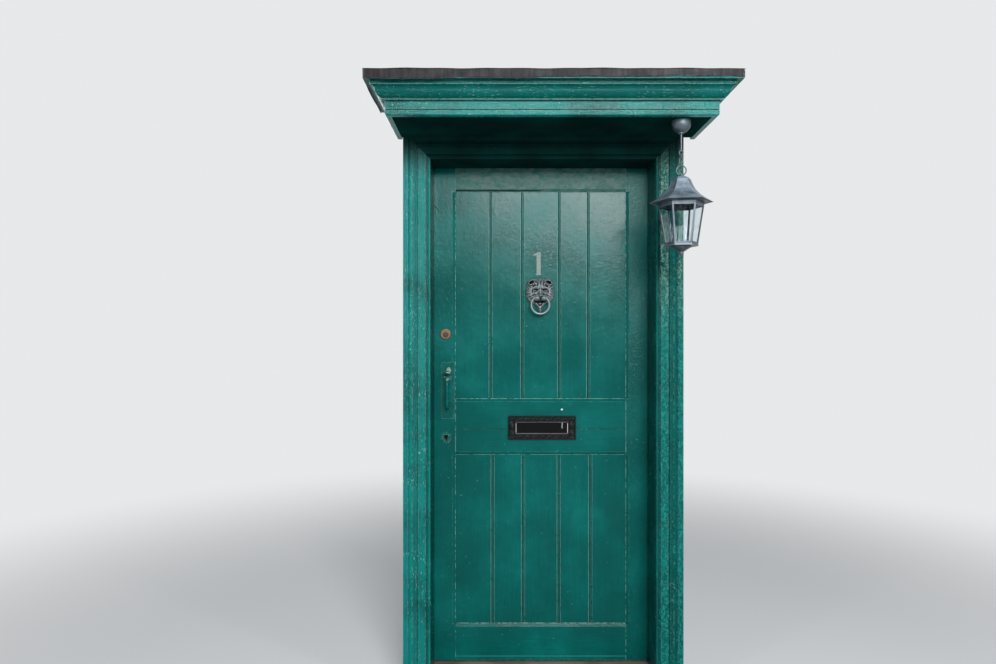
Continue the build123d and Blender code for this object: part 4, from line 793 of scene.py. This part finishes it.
def make_letter_plate(material):
    """The letter plate, cast round its window, with a flat back on the leaf."""
    half_width, half_height = PLATE_HALF
    across = np.arange(0.5 - half_width, half_width, 1.0)
    across = np.concatenate([[-half_width], across, [half_width]])
    up = np.arange(1.0 - half_height, half_height, 1.0)
    up = np.concatenate([[-half_height], up, [half_height]])
    for places, edge in ((across, WINDOW_HALF[0]), (up, WINDOW_HALF[1])):
        places[np.argmin(abs(places - edge))] = edge
        places[np.argmin(abs(places + edge))] = -edge
    u, v = np.meshgrid(across, up, indexing="ij")
    height = plate_height(u, v)
    wide, tall = u.shape
    points = [
        (PLATE_X + a * MM, LEAF_FRONT - h * MM, PLATE_Z + b * MM)
        for a, b, h in zip(u.ravel(), v.ravel(), height.ravel())
    ]
    back = len(points)
    points += [(x, LEAF_FRONT - SEAT, z) for x, _, z in points]
    faces = []
    kept = set()
    for i in range(wide - 1):
        for j in range(tall - 1):
            mid_u, mid_v = (across[i] + across[i + 1]) / 2, (up[j] + up[j + 1]) / 2
            if abs(mid_u) > WINDOW_HALF[0] or abs(mid_v) > WINDOW_HALF[1]:
                kept.add((i, j))
    sides = {(0, -1): (0, 1), (1, 0): (1, 2), (0, 1): (2, 3), (-1, 0): (3, 0)}
    for i, j in kept:
        first = i * tall + j
        ring = [first, first + tall, first + tall + 1, first + 1]
        faces.append(ring)
        for (di, dj), (a, b) in sides.items():
            if (i + di, j + dj) not in kept:
                faces.append((ring[a], ring[b], ring[b] + back, ring[a] + back))
    add_piece("letter_plate_casting", points, faces, "leaf", "black_iron", material,
              "letter_plate")


def make_lead(material):
    """The lead sheet, dressed down over the hood's front and ends, with an uneven lip."""
    low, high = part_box("lead_cover")
    thickness = 0.0015
    left, right, front = low.x + thickness, high.x - thickness, low.y + thickness
    slope_front, slope_back = 2.2485, 2.2645
    wall, steps_across, steps_along = 0.0225, 190, 26
    drops = [1.0, 0.82, 0.55, 0.28, 0.08, 0.0]
    flat_across = list(np.linspace(left + 0.006, right - 0.006, steps_across))
    across = [left] * len(drops) + flat_across + [right] * len(drops)
    side = drops + [0.0] * steps_across + drops[::-1]
    flat_along = list(np.linspace(front + 0.005, wall - 0.003, steps_along))
    along = [front] * len(drops) + flat_along + [wall, wall, 0.0228, 0.023, wall]
    rise = [0.0, 0.012, 0.030, 0.045, high.z - slope_back]
    fore = drops + [0.0] * (steps_along + len(rise))
    rise = [0.0] * (len(drops) + steps_along) + rise
    rng = np.random.default_rng(7)
    phase = rng.uniform(0, 6.28, 12)
    grid, points = {}, []
    for i, (x, side_drop) in enumerate(zip(across, side)):
        for j, (y, fore_drop, lift) in enumerate(zip(along, fore, rise)):
            top = slope_front + (slope_back - slope_front) * (y - front) / (wall - front)
            travel = x + 0.7 * y
            lip = 0.0060 + 0.0052 * math.tanh(x * 2.2) + 0.0016 * math.sin(travel * 17 + phase[0])
            lip += (
                0.0010 * math.sin(travel * 43 + phase[1])
                + 0.0007 * math.sin(travel * 91 + phase[2])
            )
            lowest = low.z + max(0.0, lip)
            drop = max(side_drop, fore_drop) if lift == 0.0 else 0.0
            z = top + lift - drop * (top - lowest)
            flat = 0.0007 * math.sin(x * 21 + y * 9 + phase[3])
            flat += 0.0005 * math.sin(x * 47 - y * 31 + phase[4])
            flat += 0.0004 * math.sin(x * 9 + y * 57 + phase[5])
            if drop == 0.0 and lift == 0.0:
                z += flat + 0.0006
            swell = 1 + math.sin(travel * 31 + phase[6] + 2.2 * drop)
            buckle = 0.0008 * swell * min(1.0, 2.5 * drop)
            inward_x = buckle if side_drop >= fore_drop and drop > 0 else 0.0
            inward_y = buckle if fore_drop >= side_drop and drop > 0 else 0.0
            middle = (left + right) / 2
            grid[i, j] = len(points)
            points.append((x + inward_x * (1 if x < middle else -1), y + inward_y, min(z, high.z)))
    faces = [
        (grid[i, j], grid[i + 1, j], grid[i + 1, j + 1], grid[i, j + 1])
        for i in range(len(across) - 1) for j in range(len(along) - 1)
    ]
    piece = add_piece("lead_sheet", points, faces, "frame", "lead", material, "lead_cover")
    skin = piece.modifiers.new("skin", "SOLIDIFY")
    skin.thickness, skin.offset = thickness, -1.0


def dress(material, *names):
    """Gives the CAD nodes named one material."""
    for name in names:
        mesh = nodes[name].data
        mesh.materials.clear()
        mesh.materials.append(material)


def dress_nodes():
    """Every node's material, with the three pieces modelled here."""
    upper = [f"upper_board_{i}" for i in range(1, 6)]
    lower = [f"lower_board_{i}" for i in range(1, 6)]
    dress(paint("paint_boards", "z", 0.18, 1.25, 0.22, radius=0.004), *upper, *lower)
    dress(paint("paint_closing_stile", "z", 0.35, 0.6, 0.35, closing_stile_marks), "left_stile")
    # The hanging stile has a lower brightness than the closing stile: painted shade down that side
    # of the leaf
    dress(paint("paint_hanging_stile", "z", 0.55, 0.6, 0.1), "right_stile")
    dress(paint("paint_top_rail", "x", 0.75, 0.6, 0.3, top_rail_marks), "top_rail")
    dress(paint("paint_middle", "x", 0.18, 1.0, 0.3, middle_marks),
          "mid_rail_upper", "mid_rail_lower")
    dress(paint("paint_bottom_rail", "x", 0.25, 0.7, 0.45, foot_marks), "bottom_rail")
    # The left post is lighter and the right post darker: lit and shaded copies of one paint, painted
    # light and painted shade
    dress(paint("paint_left_post", "z", 0.95, 0.55, 1.3, hood_shade, gloss=0.10, glint_share=1.0),
          "left_architrave")
    dress(paint("paint_right_post", "z", 0.95, 0.55, 0.0, right_post_marks, gloss=0.05, glint_share=0.4),
          "right_architrave")
    # The reveals carry painted shade in blotches, and more under the hood
    dress(paint("paint_reveals", "z", 0.6, 0.8, 0.4, hood_shade, 0.4), "left_jamb", "right_jamb")
    # The fascia is lighter and the cornice darker: lit and shaded copies of one paint, painted light
    # and painted shade
    dress(paint("paint_fascia", "x", 0.9, 1.0, 1.3, gloss=0.15, glint_share=0.9), "hood_fascia")
    dress(paint("paint_cornice", "x", 0.7, 1.2, 0.05, gloss=0.06, glint_share=0.4),
          "hood_cornice", "hood_top_board")
    # The parts under the hood carry heavy painted shade
    dress(paint("paint_sheltered", "x", 0.6, 0.15, 0.1, painted_shade=0.97, gloss=0.0),
          "frame_head", "head_architrave", "hood_back_rail", "hood_soffit")
    lead = lead_sheet()
    dress(lead, "lead_cover")
    make_lead(lead)
    dress(oak(), "threshold")
    black = cast_iron("black_iron", (0.001, 0.001, 0.001, 1), (0.006, 0.007, 0.008, 1),
                      (0.17, 0.18, 0.20, 1), 0.03, (0.22, 0.38), 0.03, flap_marks, 0.0035, 0.0024)
    dress(black, "letter_plate", "letter_flap")
    make_letter_plate(black)
    silver = cast_iron("knocker_iron", (0.008, 0.011, 0.012, 1), (0.17, 0.21, 0.22, 1),
                       (0.46, 0.54, 0.57, 1))
    dress(silver, "knocker_head", "knocker_ring")
    make_mask(silver)
    dress(painted_iron(), "latch_handle", "thumb_lever")
    dress(cylinder_metal(), "cylinder_body", "cylinder_plug")
    dress(bare_metal("steel", (0.22, 0.21, 0.20, 1), (0.34, 0.33, 0.32, 1), 0.34,
                     (0.12, 0.105, 0.095, 1), (0.60, 0.90)),
          "frame_hinge_leaves", "hinge_pins", "frame_hinge_screws", "latch_keeper",
          "night_latch_keep", "lock_strike", "leaf_hinge_leaves", "leaf_hinge_screws",
          "night_latch_case", "latch_guide", "night_latch_bolt", "night_latch_knob", "latch_bar",
          "lock_bolt")
    dress(bare_metal("old_steel", (0.020, 0.018, 0.016, 1), (0.050, 0.046, 0.042, 1), 0.45,
                     (0.014, 0.010, 0.008, 1)), "lock_case")
    dress(number_metal(), "house_number")
    # The hook, chain and ring and the lantern's frame are darker copies of the roof's metal: painted
    # shade
    dress(lantern_metal("hook_metal", 0.4), "lantern_hook", "lantern_chain", "lantern_ring")
    dress(lantern_metal("roof_metal"), "lantern_roof")
    dress(lantern_metal("frame_metal", 0.5), "lantern_frame")
    dress(pane_glass(), "lantern_glass")
    dress(holder_plastic(), "lamp_holder")


def make_floor():
    """A pale floor that keeps the object's shadow and runs out into the background."""
    mesh = bpy.data.meshes.new("floor")
    shape = bmesh.new()
    bmesh.ops.create_circle(shape, cap_ends=True, segments=96, radius=6.0)
    shape.to_mesh(mesh)
    shape.free()
    floor = bpy.data.objects.new("floor", mesh)
    bpy.context.scene.collection.objects.link(floor)
    g = Graph("floor")
    away = g.add("ShaderNodeVectorMath", {0: g.place}, operation="LENGTH").outputs["Value"]
    fade = g.step(away, 1.6, 4.5)
    near = g.add("ShaderNodeBsdfDiffuse", {"Color": (0.82, 0.83, 0.84, 1)})
    far = g.add("ShaderNodeEmission", {"Color": PALE, "Strength": 1.0})
    seen = g.math("MULTIPLY", fade, seen_directly(g.tree))
    mix = g.add("ShaderNodeMixShader", {0: seen, 1: near.outputs[0], 2: far.outputs[0]})
    out = g.add("ShaderNodeOutputMaterial")
    g.tree.links.new(mix.outputs[0], out.inputs[0])
    mesh.materials.append(g.material)


make_camera()
make_world()
# The pale sky that the upper leaf mirrors: one lamp lights, the other only shows in gloss
make_lamp("sky_panel", (0.80, -5.0, 3.30), (0.0, 0.0, 1.5), 2.5, 1.7, 265, roll=-14)
make_lamp("sky_gloss", (0.80, -5.02, 3.30), (0.0, 0.0, 1.5), 2.5, 1.7, 330, roll=-14,
          only_gloss=True)
make_lamp("right_strip", (2.9, -2.3, 2.5), (0.1, 0.1, 1.3), 0.35, 2.4, 22)
make_lamp("left_strip", (-2.7, -2.6, 2.0), (0.0, 0.1, 1.1), 0.35, 2.6, 17)
make_lamp("behind", (-1.9, 4.5, 3.4), (0.0, 0.1, 1.2), 2.4, 2.4, 48)
make_floor()
dress_nodes()

bpy.context.scene.view_settings.view_transform = "Standard"
